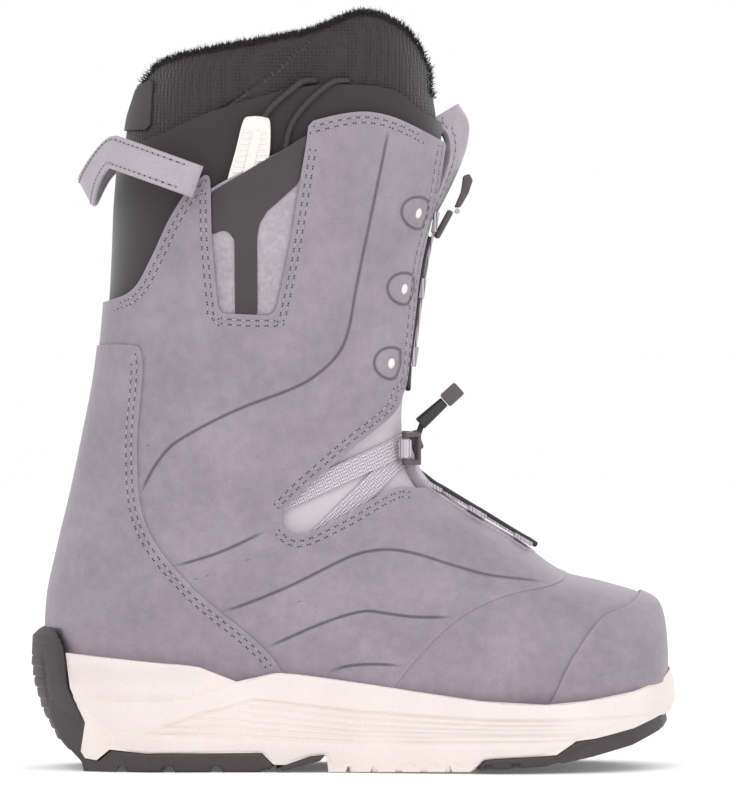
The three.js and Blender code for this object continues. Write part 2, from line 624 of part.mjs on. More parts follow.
// ---- instep lacing ----
const VAMP_GUIDES = [[36, 127.6], [56, 115.8], [77, 103.2]];
function makeInstepLacing() {
  SIDES.forEach(([name, sign]) => {
    const loops = VAMP_GUIDES.map(([x, z]) => [x, sign * 9.6, z + 1.6]);
    add(`vamp_webbing_${name}`, 'webbing', webbing(loops, [9, 7.5, 1.8], 0.53));
  });
  const route = [[30, 5, 135], [36, -4.2, 131.3], [40, -4.2, 129], [54, 4.2, 120.7], [58, 4.2, 118.4],
    [74, -4.2, 108.8],
    [79, -3.6, 105.9]];
  add('lower_lace', 'black', cord(route, LACE, 6));
  const lock = add('lower_lock_body', 'plastic', new THREE.BoxGeometry(5, 14, 9));
  lock.position.set(27.6, 0, 148.5);
  lock.rotation.y = -0.35;
  makeReleasePull();
}

// a rubber tube with a hard tip, the end of the ankle lacing's release
const PULL_BASE = [29.5, 156];
const PULL_LEAN = 0.83; // radians from upright towards the toe
function makeReleasePull() {
  const tube = new THREE.CylinderGeometry(2.4, 3.1, 15, 12).rotateX(Math.PI / 2).translate(0, 0, 7.5);
  const pull = add('release_pull', 'black', tube);
  const tip = add('release_tip', 'plastic', new THREE.BoxGeometry(7, 6, 9).translate(0, 0,
    15 + GAP + 4.5));
  [pull, tip].forEach((mesh) => {
    mesh.rotation.y = PULL_LEAN;
    mesh.position.set(PULL_BASE[0], -5, PULL_BASE[1]);
  });
}

// ---- liner ----
function makeLiner() {
  const [px, pz] = FLEX_PIVOT;
  const legInner = LINER_LEG_IN + LINER_LEG_THICK;
  const footRegion = [[-150, 10], [160, 10], [160, 178], [60, 171], [px, pz - 1], [px - 1, pz - 0.4],
    [-150, pz - 0.4]];
  const legRegion = [[-150, pz + 0.4], [px - 1, pz + 0.4], [px, pz + 1], [60, 207],
    ...curve(LINER_RIM).reverse()];
  const footSkin = skin(LINER_FOOT_IN, LINER_FOOT_IN + LINER_FOOT_THICK);
  const instepSlot = block(60, 27, 60, 30, 0, 168);
  add('liner_foot', 'black',
    toGeometry(largest(footSkin.intersect(sidePrism(footRegion)).subtract(instepSlot))));
  const legSkin = skin(LINER_LEG_IN, legInner);
  const slot = block(120, 40, 260, 60, 0, 280);
  const leg = sidePrism(legRegion);
  add('liner_cuff', 'black', toGeometry(largest(legSkin.intersect(leg).subtract(slot))));

  const front = block(120, 40 - 4 * GAP, 260, 60, 0, 304);
  add('liner_tongue', 'black', toGeometry(largest(legSkin.intersect(leg).intersect(front))));
  const pileRegion = [[-150, 290], [60, 290], ...curve(LINER_RIM).reverse()];
  const pile = skin(legInner + GAP, legInner + 2.2).intersect(sidePrism(pileRegion)).subtract(slot);
  add('liner_pile', 'pile', toGeometry(largest(pile)));
  const tag = skin(LINER_LEG_IN - 1.4, LINER_LEG_IN - GAP).intersect(
    sidePrism([[-104, 291], [-93, 291], [-92, 312], [-101, 306]], -90, 0),
  );
  add('liner_tag', 'black', toGeometry(largest(tag)));

  const bed = LINER_FOOT_IN + LINER_FOOT_THICK + GAP;
  const bedRegion = [[-150, 56], [-110, 52], [-40, 50], [40, 40], [110, 46], [150, 50], [150, 0],
    [-150, 0]];
  add('footbed', 'fabric', toGeometry(largest(skin(bed, bed + FOOTBED).intersect(sidePrism(bedRegion)))));
  const stiffener = skin(LEATHER + GAP, LEATHER + GAP + STIFFENER_THICK);
  const heelRegion = [[-150, 36], [-70, 33], [-66, 60], [-90, 98], [-150, 108]];
  add('heel_stiffener', 'plastic', toGeometry(largest(stiffener.intersect(sidePrism(heelRegion)))));
}

makeSole();
makeFootUpper();
makeAnkle();
makeCuff();
makeTongue();
makeInstepLacing();
makeLiner();

export default boot;
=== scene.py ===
"""Snowboard boot, right foot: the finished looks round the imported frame.

Metres. +X runs to the toe, +Z up, and the outer (lateral) side of the boot is at -Y.
"""
import math

import bmesh
import bpy
import numpy as np
from bpy.props import FloatProperty, FloatVectorProperty, PointerProperty
from mathutils import Matrix, Vector
from mathutils.bvhtree import BVHTree


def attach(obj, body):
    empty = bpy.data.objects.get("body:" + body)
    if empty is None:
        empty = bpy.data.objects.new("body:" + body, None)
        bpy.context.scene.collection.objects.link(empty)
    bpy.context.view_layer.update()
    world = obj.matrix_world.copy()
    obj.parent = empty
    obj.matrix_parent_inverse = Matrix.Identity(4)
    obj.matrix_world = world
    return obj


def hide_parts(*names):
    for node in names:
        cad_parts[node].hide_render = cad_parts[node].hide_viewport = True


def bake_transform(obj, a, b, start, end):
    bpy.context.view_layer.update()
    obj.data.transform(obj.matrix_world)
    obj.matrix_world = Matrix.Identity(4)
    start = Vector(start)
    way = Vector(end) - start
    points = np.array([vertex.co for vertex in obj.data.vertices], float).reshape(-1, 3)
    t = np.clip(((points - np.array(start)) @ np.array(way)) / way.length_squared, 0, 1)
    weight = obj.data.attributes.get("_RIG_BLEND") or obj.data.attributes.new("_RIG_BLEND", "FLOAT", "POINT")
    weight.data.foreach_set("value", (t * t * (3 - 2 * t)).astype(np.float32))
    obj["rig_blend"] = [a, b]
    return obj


bl_info = {
    "name": "Snowboard boot",
    "version": (1, 0, 0),
    "blender": (4, 5, 0),
    "location": "3D View > Sidebar > Boot",
    "description": "Builds the leather, foam, rubber, liner, laces and hardware of a snowboard boot",
    "category": "Add Mesh",
}

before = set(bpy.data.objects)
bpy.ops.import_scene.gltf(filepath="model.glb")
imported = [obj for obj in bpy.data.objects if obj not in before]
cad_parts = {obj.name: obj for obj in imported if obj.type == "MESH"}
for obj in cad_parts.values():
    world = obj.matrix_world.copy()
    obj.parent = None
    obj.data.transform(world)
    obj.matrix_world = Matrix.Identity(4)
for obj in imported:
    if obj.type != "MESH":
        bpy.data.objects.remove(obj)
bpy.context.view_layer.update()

MM = 0.001
SIDES = (("lateral", -1), ("medial", 1))

# ---------------------------------------------------------------------------
# The upper's surface: a fan of sections from the toe round the heel to the top, in millimetres.
# front x, front z, back x, back z, half width, centre y
SECTIONS = (
    (138.5, 73, 140.5, 37, 20, 8),
    (130, 79.5, 134, 29, 35, 7),
    (112, 85, 115, 23, 46.5, 4),
    (93, 90, 92, 19.5, 52, 1.5),
    (76, 102, 62, 18.5, 53.5, 0),
    (59.5, 112, 30, 19.5, 50.5, -1),
    (43, 122.5, 0, 21.5, 45.5, -1.5),
    (31, 133, -38, 24, 42, -1),
    (25.5, 147, -82, 26.5, 41, 0),
    (24.5, 162, -122, 30, 41, 0),
    (26, 176, -138, 52, 41.5, 0),
    (27.5, 189, -139.5, 76, 42, 0),
    (29, 202, -134.5, 101, 42.5, 0),
    (30.5, 216, -128.5, 126, 43.5, 0),
    (32, 229, -123, 152, 45.5, 0),
    (34.5, 242, -118, 178, 48.5, 0),
    (37.5, 255, -115, 204, 51.5, 0),
    (40.5, 269, -113.5, 230, 54, 0),
    (43, 283, -112.5, 256, 56, 0),
    (44, 297, -110, 283, 57.5, 0),
    (43, 313, -106, 309, 58.5, 0),
    (42, 330, -102, 330, 59, 0),
    (41, 350, -99.5, 350, 59, 0),
)
TOE_TIP = (141.5, 56, 141.5, 56, 0, 8)
TOE_SHIFT = (0.85, 0.5, 0.2)
ALONG = 210  # sections in a finished skin
AROUND = 176  # points round a section

# outlines in the side view, x and z in millimetres
TOE_EDGE = ((137, 90), (126, 76), (111, 69), (100, 55), (94.5, 45.5), (84, 22))
OVERLAY_EDGE = ((97, 100), (94, 86), (69, 80), (49.5, 71.4), (33.5, 57.7), (17.5, 38.5), (6, 20))
COUNTER_EDGE = ((-135, 190), (-103.6, 192), (-95.6, 185), (-98, 145), (-94, 111.4), (-74, 84), (-44.5, 59),
                (-33, 45), (-24, 22))
CUFF_TOP = ((-135, 207), (-111, 212), (-99.5, 217.3), (-91.4, 231), (-81.4, 251.3), (-68.6, 266.8),
            (-36.4, 285.4), (-5.5, 295), (15, 294.5), (41, 283))
EYESTAY = ((41.3, 281.5), (36.4, 252), (30.5, 228), (27.6, 201), (25.2, 178), (22.3, 170.6))
NOTCH_UPPER = ((22.3, 170.6), (17.3, 160.4), (-2.3, 144.5), (-23, 126.4), (-33, 116.5))
NOTCH_LOWER = ((-33, 111), (-24.5, 106.4), (-5, 115), (17.3, 127.3), (29.5, 127.3))
COLLAR_TOP = ((-130, 282), (-97, 283), (-63.6, 296.4), (-21.8, 307.2), (15, 306.5), (33, 295), (60, 285))
LINER_RIM = ((-130, 300), (-99, 309.5), (-84.5, 320.5), (-42.7, 328.6), (-20, 333), (4, 341.4), (22.7, 334),
             (33, 318), (36, 305), (60, 300))
UPPER_FOOT = ((-150, 34.5), (-122, 34.5), (-82, 31), (-38, 28.5), (30, 24.5), (62, 23.5), (92, 24.5),
              (115, 28), (134, 34), (155, 38))
POCKET = ((-64.5, 260), (-64, 239), (-61.4, 210), (-59.5, 206), (-38, 205), (-35, 208), (-28.6, 239),
          (-21.3, 284))
# pressed lines in the leather
PRESSED_LINES = (
    ((15.5, 290), (11.4, 269.5), (3.6, 232), (0, 214), (-2.7, 199), (-7.3, 188), (-16.8, 178.6),
     (-28.6, 172), (-54.5, 162), (-79, 149), (-88, 140), (-94, 130), (-97, 123)),
    ((-83, 91.8), (-60, 99), (-38.6, 109)),
    ((-61, 71.4), (-47.7, 76), (-27.3, 84.5), (-7.3, 94.5), (3.2, 98.6), (15, 100), (27.3, 98.2),
     (43.6, 93.2), (58.6, 89), (74, 86.8), (87, 85)),
    ((-40.5, 55.5), (-16, 66.4), (3, 72.3), (15, 71.4), (27.3, 70), (45.5, 70)),
    ((-13.2, 44), (-5.5, 47.3), (4, 48.6), (14, 48.6), (23.2, 47.7)),
)
FLEX_START = (-0.0313, 0.0, 0.1057)  # below this the leather stays with the foot
FLEX_END = (-0.0359, 0.0, 0.1272)  # above this it goes with the cuff


# ---------------------------------------------------------------------------
# curves and surfaces
def spline(points, count=8):
    """Points of a smooth line through the given ones."""
    p = np.array(points, float)
    p = np.vstack([2 * p[0] - p[1], p, 2 * p[-1] - p[-2]])
    t = np.linspace(0, len(points) - 1, (len(points) - 1) * count + 1)
    return catmull(p, t)


def catmull(p, t):
    """Catmull-Rom through p[1:-1], at t counted from its first point."""
    i = np.clip(np.floor(t).astype(int), 0, len(p) - 4)
    f = (t - i)[:, None]
    a, b, c, d = p[i], p[i + 1], p[i + 2], p[i + 3]
    square = (2 * a - 5 * b + 4 * c - d) * f ** 2
    cube = (3 * b - a - 3 * c + d) * f ** 3
    return 0.5 * (2 * b + (c - a) * f + square + cube)


def smoothstep(t):
    t = np.clip(t, 0, 1)
    return t * t * (3 - 2 * t)


def upper_grid(depth=0.0, along=ALONG, around=AROUND):
    """The upper's surface moved in by depth, in mm: an array of along by around points."""
    first = SECTIONS[0]
    mirrored = (first[2], first[3], first[0], first[1], -first[4], first[5])
    table = np.array([mirrored, TOE_TIP, *SECTIONS], float)
    last = 2 * table[-1] - table[-2]
    table = np.vstack([table, last])
    t = np.linspace(0, len(SECTIONS), along)
    t = t + 0.12 * np.sin(np.pi * np.clip(1 - t, 0, 1)) * t
    rows = catmull(table, t)
    index = t - 1
    shift = np.interp(index, (-1, 0, 1, 2, 3), (1.0, *TOE_SHIFT, 0.0)) * depth
    shaft = smoothstep((index - 5) / 6)
    half = around // 2
    grid = np.empty((along, around, 3))
    angle = np.linspace(0, np.pi, 361)
    c, s = np.cos(angle), np.sin(angle)
    for i, (fx, fz, bx, bz, wide, mid) in enumerate(rows):
        chord = np.array((fx - bx, fz - bz))
        length = max(math.hypot(*chord), 1e-6)
        chord /= length
        span = max(length - 2 * depth, 0.02)
        wide = max(wide - depth, 0.01)
        widest = 0.36 + 0.14 * shaft[i]
        front_power = 2.1 + 0.8 * shaft[i]
        back_power = 3.2 - 0.9 * shaft[i]
        reach = np.where(c >= 0, (1 - widest) * span, widest * span)
        power = 2 / np.where(c >= 0, front_power, back_power)
        run = depth + widest * span + np.sign(c) * reach * np.abs(c) ** power
        out = wide * np.abs(s) ** power
        even = np.concatenate([[0], np.cumsum(np.hypot(np.diff(run), np.diff(out)))])
        at = np.linspace(0, even[-1], half + 1)
        run, out = np.interp(at, even, run), np.interp(at, even, out)
        ring = np.stack([bx + chord[0] * run - shift[i], mid - out, bz + chord[1] * run], 1)
        back = ring[::-1][1:-1].copy()
        back[:, 1] = 2 * mid - back[:, 1]
        grid[i] = np.vstack([ring, back])
    return grid


_grids = {}


def grid_at(depth):
    if depth not in _grids:
        _grids[depth] = upper_grid(depth)
    return _grids[depth]


def skin_bmesh(depth):
    """The closed skin at a depth, as a grid wrapped round the boot, joined under its seam."""
    grid = grid_at(depth) * MM
    rows, columns = grid.shape[:2]
    bm = bmesh.new()
    bmesh.ops.create_grid(bm, x_segments=rows - 1, y_segments=columns, size=1.0)
    bm.verts.ensure_lookup_table()
    # each vertex finds its row and column from its place in the flat grid
    for v in bm.verts:
        i = round((v.co.x + 1) / 2 * (rows - 1))
        j = round((v.co.y + 1) / 2 * columns) % columns
        v.co = grid[i, j]
    bmesh.ops.remove_doubles(bm, verts=bm.verts, dist=1e-6)
    bmesh.ops.recalc_face_normals(bm, faces=bm.faces)
    return bm


def signed_distance(points, outline):
    """Distance in mm from each x, z point to a closed outline, positive inside."""
    p = np.asarray(points, float)
    a = np.asarray(outline, float)
    b = np.roll(a, -1, axis=0)
    best = np.full(len(p), 1e9)
    inside = np.zeros(len(p), bool)
    for (ax, az), (bx, bz) in zip(a, b):
        dx, dz = bx - ax, bz - az
        size = dx * dx + dz * dz
        if size < 1e-12:
            continue
        t = np.clip(((p[:, 0] - ax) * dx + (p[:, 1] - az) * dz) / size, 0, 1)
        best = np.minimum(best, np.hypot(p[:, 0] - ax - t * dx, p[:, 1] - az - t * dz))
        crosses = (az > p[:, 1]) != (bz > p[:, 1])
        if abs(dz) > 1e-12:
            inside ^= crosses & (p[:, 0] < ax + (p[:, 1] - az) / dz * dx)
    return np.where(inside, best, -best)


def line_distance(points, line, taper=10.0):
    """Signed distance to an open line and a mask that fades at its two ends."""
    p = np.asarray(points, float)
    best = np.full(len(p), 1e9)
    sign = np.ones(len(p))
    run = np.zeros(len(p))
    total = 0.0
    for (ax, az), (bx, bz) in zip(line[:-1], line[1:]):
        dx, dz = bx - ax, bz - az
        size = max(dx * dx + dz * dz, 1e-12)
        t = np.clip(((p[:, 0] - ax) * dx + (p[:, 1] - az) * dz) / size, 0, 1)
        d = np.hypot(p[:, 0] - ax - t * dx, p[:, 1] - az - t * dz)
        near = d < best
        best = np.where(near, d, best)
        sign = np.where(near, np.sign(dx * (p[:, 1] - az) - dz * (p[:, 0] - ax)), sign)
        run = np.where(near, total + t * math.sqrt(size), run)
        total += math.sqrt(size)
    fade = smoothstep(run / taper) * smoothstep((total - run) / taper)
    return best * sign, fade


def trim(bm, values):
    """Cuts the mesh along the zero line of values, one for each vertex, and keeps the positive side."""
    layer = bm.verts.layers.float.new("keep")
    for v, value in zip(bm.verts, values):
        v[layer] = 0.0 if abs(value) < 0.02 else float(value)
    cut = [e for e in bm.edges if e.verts[0][layer] * e.verts[1][layer] < 0]
    for e in cut:
        a, b = e.verts
        share = a[layer] / (a[layer] - b[layer])
        _, new = bmesh.utils.edge_split(e, a, share)
        new[layer] = 0.0
    zero = [v for v in bm.verts if v[layer] == 0.0]
    bmesh.ops.connect_verts(bm, verts=zero)
    gone = [f for f in bm.faces if sum(v[layer] for v in f.verts) <= 0]
    bmesh.ops.delete(bm, geom=gone, context="FACES")
    bm.verts.layers.float.remove(bm.verts.layers.float["keep"])


def in_mm(setting):
    """A setting's length in mm, without the rounding of single precision."""
    return round(setting / MM, 4)


def positions(bm):
    """Each vertex's place in mm."""
    return np.array([v.co[:] for v in bm.verts]) / MM


def side_view(bm):
    return positions(bm)[:, [0, 2]]


def floor_keep(points):
    """Positive above the line where the upper's panels end in the midsole."""
    line = np.array(UPPER_FOOT)
    return points[:, 1] - np.interp(points[:, 0], line[:, 0], line[:, 1])


# ---------------------------------------------------------------------------
# objects
def finish_object(bm, name, material, body=None, replaced=()):
    """Turns a bmesh into an object of the scene that rides on a body."""
    mesh = bpy.data.meshes.new(name)
    bm.to_mesh(mesh)
    bm.free()
    obj = bpy.data.objects.new(name, mesh)
    bpy.context.scene.collection.objects.link(obj)
    mesh.materials.append(material)
    mesh.polygons.foreach_set("use_smooth", [True] * len(mesh.polygons))
    if body:
        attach(obj, body)
    if replaced:
        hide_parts(*replaced)
    return obj


def wall(obj, thickness, bevel=0.0, segments=2):
    """Gives a skin its thickness inwards, with rounded edges."""
    solid = obj.modifiers.new("wall", "SOLIDIFY")
    solid.thickness = thickness * MM
    solid.offset = -1
    if bevel:
        round_edges(obj, bevel, segments, 50)


def round_edges(obj, width, segments=2, angle=40):
    edge = obj.modifiers.new("edges", "BEVEL")
    edge.width = width * MM
    edge.segments = segments
    edge.limit_method = "ANGLE"
    edge.angle_limit = math.radians(angle)
    edge.harden_normals = False


def flex(obj):
    """The piece bends at the ankle, between the foot and the cuff."""
    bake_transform(obj, "foot", "cuff", FLEX_START, FLEX_END)


def set_attribute(bm, name, values):
    layer = bm.verts.layers.float.get(name) or bm.verts.layers.float.new(name)
    for v, value in zip(bm.verts, values):
        v[layer] = float(value)


# ---------------------------------------------------------------------------
# materials
class Nodes:
    """Short way to lay out shader nodes."""

    def __init__(self, tree):
        self.tree = tree

    def node(self, kind, inputs=None, **settings):
        n = self.tree.nodes.new(kind)
        for key, value in settings.items():
            setattr(n, key, value)
        for key, value in (inputs or {}).items():
            socket = n.inputs[key]
            if isinstance(value, bpy.types.NodeSocket):
                self.tree.links.new(value, socket)
            else:
                socket.default_value = value
        return n

    def math(self, operation, a, b=0.0, clamp=False):
        return self.node("ShaderNodeMath", {0: a, 1: b}, operation=operation, use_clamp=clamp).outputs[0]

    def mix(self, share, a, b, blend="MIX"):
        n = self.node("ShaderNodeMix", data_type="RGBA", blend_type=blend)
        for key, value in ((0, share), (6, a), (7, b)):
            if isinstance(value, bpy.types.NodeSocket):
                self.tree.links.new(value, n.inputs[key])
            else:
                n.inputs[key].default_value = value
        return n.outputs[2]

    def ramp(self, value, low, high, out_low=0.0, out_high=1.0):
        n = self.node("ShaderNodeMapRange", {0: value, 1: low, 2: high, 3: out_low, 4: out_high})
        n.clamp = True
        return n.outputs[0]


def material(name, roughness=0.6, metallic=0.0, **constants):
    """A Principled material with its constants set on the shader's own sockets."""
    mat = bpy.data.materials.new(name)
    mat.use_nodes = True
    shader = mat.node_tree.nodes["Principled BSDF"]
    shader.inputs["Roughness"].default_value = roughness
    shader.inputs["Metallic"].default_value = metallic
    for key, value in constants.items():
        shader.inputs[key.replace("_", " ")].default_value = value
    return mat, Nodes(mat.node_tree), shader


def new_group(name, inputs, outputs):
    tree = bpy.data.node_groups.new(name, "ShaderNodeTree")
    for label, kind, default in inputs:
        socket = tree.interface.new_socket(label, in_out="INPUT", socket_type=kind)
        if default is not None:
            socket.default_value = default
    for label, kind in outputs:
        tree.interface.new_socket(label, in_out="OUTPUT", socket_type=kind)
    n = Nodes(tree)
    source = tree.nodes.new("NodeGroupInput")
    sink = tree.nodes.new("NodeGroupOutput")
    return tree, n, source, sink


FLOAT = "NodeSocketFloat"
VECTOR = "NodeSocketVector"


def grain_group():
    """Leather grain: small pebbles with fine wrinkles, as a height and a mottled shade."""
    tree, n, source, sink = new_group(
        "leather grain",
        [("Position", VECTOR, None), ("Size", FLOAT, 900.0)],
        [("Height", FLOAT), ("Mottle", FLOAT)],
    )
    warp = n.node("ShaderNodeTexNoise", {"Vector": source.outputs[0], "Scale": 420.0, "Detail": 2.0})
    shift = n.node("ShaderNodeVectorMath", {0: warp.outputs["Color"], 1: (0.0011, 0.0011, 0.0011)},
                   operation="MULTIPLY")
    place = n.node("ShaderNodeVectorMath", {0: source.outputs[0], 1: shift.outputs[0]}, operation="ADD")
    pebbles = n.node("ShaderNodeTexVoronoi", {"Vector": place.outputs[0], "Scale": source.outputs[1]},
                     feature="DISTANCE_TO_EDGE")
    crease = n.ramp(pebbles.outputs["Distance"], 0.0, 0.16)
    fine = n.node("ShaderNodeTexNoise", {"Vector": source.outputs[0], "Scale": 2600.0, "Detail": 3.0})
    height = n.math("ADD", n.math("MULTIPLY", crease, 0.7), n.math("MULTIPLY", fine.outputs["Fac"], 0.5))
    broad = n.node("ShaderNodeTexNoise", {"Vector": source.outputs[0], "Scale": 26.0, "Detail": 5.0,
                                          "Roughness": 0.6})
    spots = n.node("ShaderNodeTexNoise", {"Vector": source.outputs[0], "Scale": 210.0, "Detail": 3.0})
    mottle = n.math("ADD", n.math("MULTIPLY", broad.outputs["Fac"], 0.7),
                    n.math("MULTIPLY", spots.outputs["Fac"], 0.3))
    tree.links.new(height, sink.inputs["Height"])
    tree.links.new(mottle, sink.inputs["Mottle"])
    return tree


def pressed_group():
    """A pressed line from its distance in mm: height of the groove, and a mask for the painted shadow in its
    bottom.
    """
    tree, n, source, sink = new_group(
        "pressed line",
        [("Distance", FLOAT, 9.0), ("Mask", FLOAT, 0.0), ("Width", FLOAT, 0.55)],
        [("Height", FLOAT), ("Groove shade", FLOAT)],
    )
    distance = n.math("ABSOLUTE", source.outputs[0])
    ratio = n.math("DIVIDE", distance, source.outputs[2])
    bell = n.math("POWER", 2.718, n.math("MULTIPLY", n.math("MULTIPLY", ratio, ratio), -1.0))
    swell = n.math("POWER", 2.718, n.math("MULTIPLY", n.math("DIVIDE", distance, 2.2), -1.0))
    sunk = n.math("ADD", bell, n.math("MULTIPLY", swell, 0.8))
    depth = n.math("MULTIPLY", sunk, source.outputs[1])
    tree.links.new(n.math("MULTIPLY", depth, -1.0), sink.inputs["Height"])
    tree.links.new(n.math("MULTIPLY", bell, source.outputs[1]), sink.inputs["Groove shade"])
    return tree


def weave_group():
    """A plain weave from two crossing rows of threads, as a height and painted shade that darkens the hollows
    between threads.
    """
    tree, n, source, sink = new_group(
        "woven threads",
        [("Position", VECTOR, None), ("Across", FLOAT, 1500.0), ("Along", FLOAT, 1500.0)],
        [("Height", FLOAT), ("Painted shade", FLOAT)],
    )
    split = n.node("ShaderNodeSeparateXYZ", {0: source.outputs[0]})
    u = n.math("MULTIPLY", split.outputs[0], source.outputs[1])
    v = n.math("MULTIPLY", split.outputs[1], source.outputs[2])
    warp = n.math("ABSOLUTE", n.math("SINE", u))
    weft = n.math("ABSOLUTE", n.math("SINE", v))
    parity = n.math("MULTIPLY", n.math("SINE", n.math("MULTIPLY", u, 0.5)),
                    n.math("SINE", n.math("MULTIPLY", v, 0.5)))
    over = n.ramp(parity, -0.05, 0.05)
    under = n.math("SUBTRACT", 1.0, over)
    height = n.math("ADD", n.math("MULTIPLY", warp, over), n.math("MULTIPLY", weft, under))
    tree.links.new(height, sink.inputs["Height"])
    tree.links.new(n.ramp(height, 0.1, 0.9), sink.inputs["Painted shade"])
    return tree


GROUPS = {}


def group(n, name, inputs):
    return n.node("ShaderNodeGroup", inputs, node_tree=GROUPS[name])


def object_position(n):
    return n.node("ShaderNodeTexCoord").outputs["Object"]


def attribute(n, name):
    return n.node("ShaderNodeAttribute", attribute_name=name).outputs["Fac"]


def shade(color, strength):
    """A colour made darker or lighter, with its alpha."""
    return tuple(min(1, c * strength) for c in color) + (1,)


def leather_material(name, dark, light):
    """Grained leather: mottled tone, painted shade in the creases and pressed lines, a painted highlight at
    the edges.
    """
    mat, n, shader = material(name, 0.52, Specular_IOR_Level=0.42, Sheen_Weight=0.12, Sheen_Roughness=0.5)
    where = object_position(n)
    grain = group(n, "leather grain", {"Position": where, "Size": 820.0})
    line = group(n, "pressed line", {"Distance": attribute(n, "line_gap"),
                                     "Mask": attribute(n, "line_mask")})
    tone = n.ramp(grain.outputs["Mottle"], 0.36, 0.66)
    color = n.mix(tone, (*dark, 1), (*light, 1))
    # painted shade: the grain's low parts are darkened, as if shaded in its creases
    pits = n.ramp(grain.outputs["Height"], 0.15, 0.7)
    crease_shade = n.math("MULTIPLY", n.math("SUBTRACT", 1.0, pits), 0.22)
    color = n.mix(crease_shade, color, shade(dark, 0.45))
    # painted highlight: the leather is lightened within 1.4 mm of a panel's edge, where light catches the cut
    # edge
    edge = n.ramp(attribute(n, "edge_gap"), 0.0, 1.4, 0.1, 0.0)
    color = n.mix(edge, color, shade(light, 1.5))
    # painted shadow: the bottom of each pressed line is darkened
    color = n.mix(n.math("MULTIPLY", line.outputs["Groove shade"], 0.75), color, shade(dark, 0.25))
    mat.node_tree.links.new(color, shader.inputs["Base Color"])
    rough = n.ramp(grain.outputs["Mottle"], 0.3, 0.7, 0.46, 0.62)
    mat.node_tree.links.new(rough, shader.inputs["Roughness"])
    small = n.node("ShaderNodeBump", {"Height": grain.outputs["Height"], "Strength": 0.32,
                                      "Distance": 0.00016})
    big = n.node("ShaderNodeBump", {"Height": line.outputs["Height"], "Strength": 1.0, "Distance": 0.0006,
                                    "Normal": small.outputs[0]})
    mat.node_tree.links.new(big.outputs[0], shader.inputs["Normal"])
    return mat


def speckled_material(name, dark, light, scale, roughness, bump=0.2, distance=0.0002, **constants):
    """Moulded rubber, foam or plastic: fine texture and a slight change of tone."""
    mat, n, shader = material(name, roughness, **constants)
    where = object_position(n)
    fine = n.node("ShaderNodeTexNoise", {"Vector": where, "Scale": scale, "Detail": 4.0})
    broad = n.node("ShaderNodeTexNoise", {"Vector": where, "Scale": 30.0, "Detail": 4.0})
    share = n.math("ADD", n.math("MULTIPLY", fine.outputs["Fac"], 0.5),
                   n.math("MULTIPLY", broad.outputs["Fac"], 0.5))
    color = n.mix(n.ramp(share, 0.35, 0.65), (*dark, 1), (*light, 1))
    mat.node_tree.links.new(color, shader.inputs["Base Color"])
    mat.node_tree.links.new(n.ramp(broad.outputs["Fac"], 0.3, 0.7, roughness - 0.07, roughness + 0.07),
                            shader.inputs["Roughness"])
    relief = n.node("ShaderNodeBump", {"Height": fine.outputs["Fac"], "Strength": bump,
                                       "Distance": distance})
    mat.node_tree.links.new(relief.outputs[0], shader.inputs["Normal"])
    return mat


def woven_material(name, dark, light, across, along, roughness, bump, distance, uv=True):
    """Woven or braided threads, laid out by the UV map, or by the object's own place."""
    mat, n, shader = material(name, roughness)
    source = n.node("ShaderNodeTexCoord")
    where = source.outputs["UV" if uv else "Object"]
    threads = group(n, "woven threads", {"Position": where, "Across": across, "Along": along})
    # painted shade: the threads run from the darker tone in their hollows to the lighter tone on their crowns
    color = n.mix(threads.outputs["Painted shade"], (*dark, 1), (*light, 1))
    mat.node_tree.links.new(color, shader.inputs["Base Color"])
    relief = n.node("ShaderNodeBump", {"Height": threads.outputs["Height"], "Strength": bump,
                                       "Distance": distance})
    mat.node_tree.links.new(relief.outputs[0], shader.inputs["Normal"])
    return mat


def mesh_material():
    """Knitted spacer mesh: rows of small pits with painted shade in them, and a pressed seam with a painted
    shadow in its groove.
    """
    mat, n, shader = material("knitted mesh", 0.8, Sheen_Weight=0.25)
    where = object_position(n)
    pits = n.node("ShaderNodeTexVoronoi", {"Vector": where, "Scale": 620.0, "Randomness": 0.25})
    pit_depth_and_shade = n.ramp(pits.outputs["Distance"], 0.1, 0.55)
    line = group(n, "pressed line", {"Distance": attribute(n, "line_gap"),
                                     "Mask": attribute(n, "line_mask"), "Width": 0.7})
    # painted shade: the knit is darker in the middle of each pit
    color = n.mix(pit_depth_and_shade, (0.007, 0.005, 0.006, 1), (0.026, 0.020, 0.022, 1))
    # painted shadow along the pressed seam's groove
    color = n.mix(n.math("MULTIPLY", line.outputs["Groove shade"], 0.6), color, (0.008, 0.006, 0.007, 1))
    mat.node_tree.links.new(color, shader.inputs["Base Color"])
    small = n.node("ShaderNodeBump", {"Height": pit_depth_and_shade, "Strength": 0.8, "Distance": 0.0006})
    big = n.node("ShaderNodeBump", {"Height": line.outputs["Height"], "Strength": 1.0, "Distance": 0.001,
                                    "Normal": small.outputs[0]})
    mat.node_tree.links.new(big.outputs[0], shader.inputs["Normal"])
    return mat


MATERIALS = {}
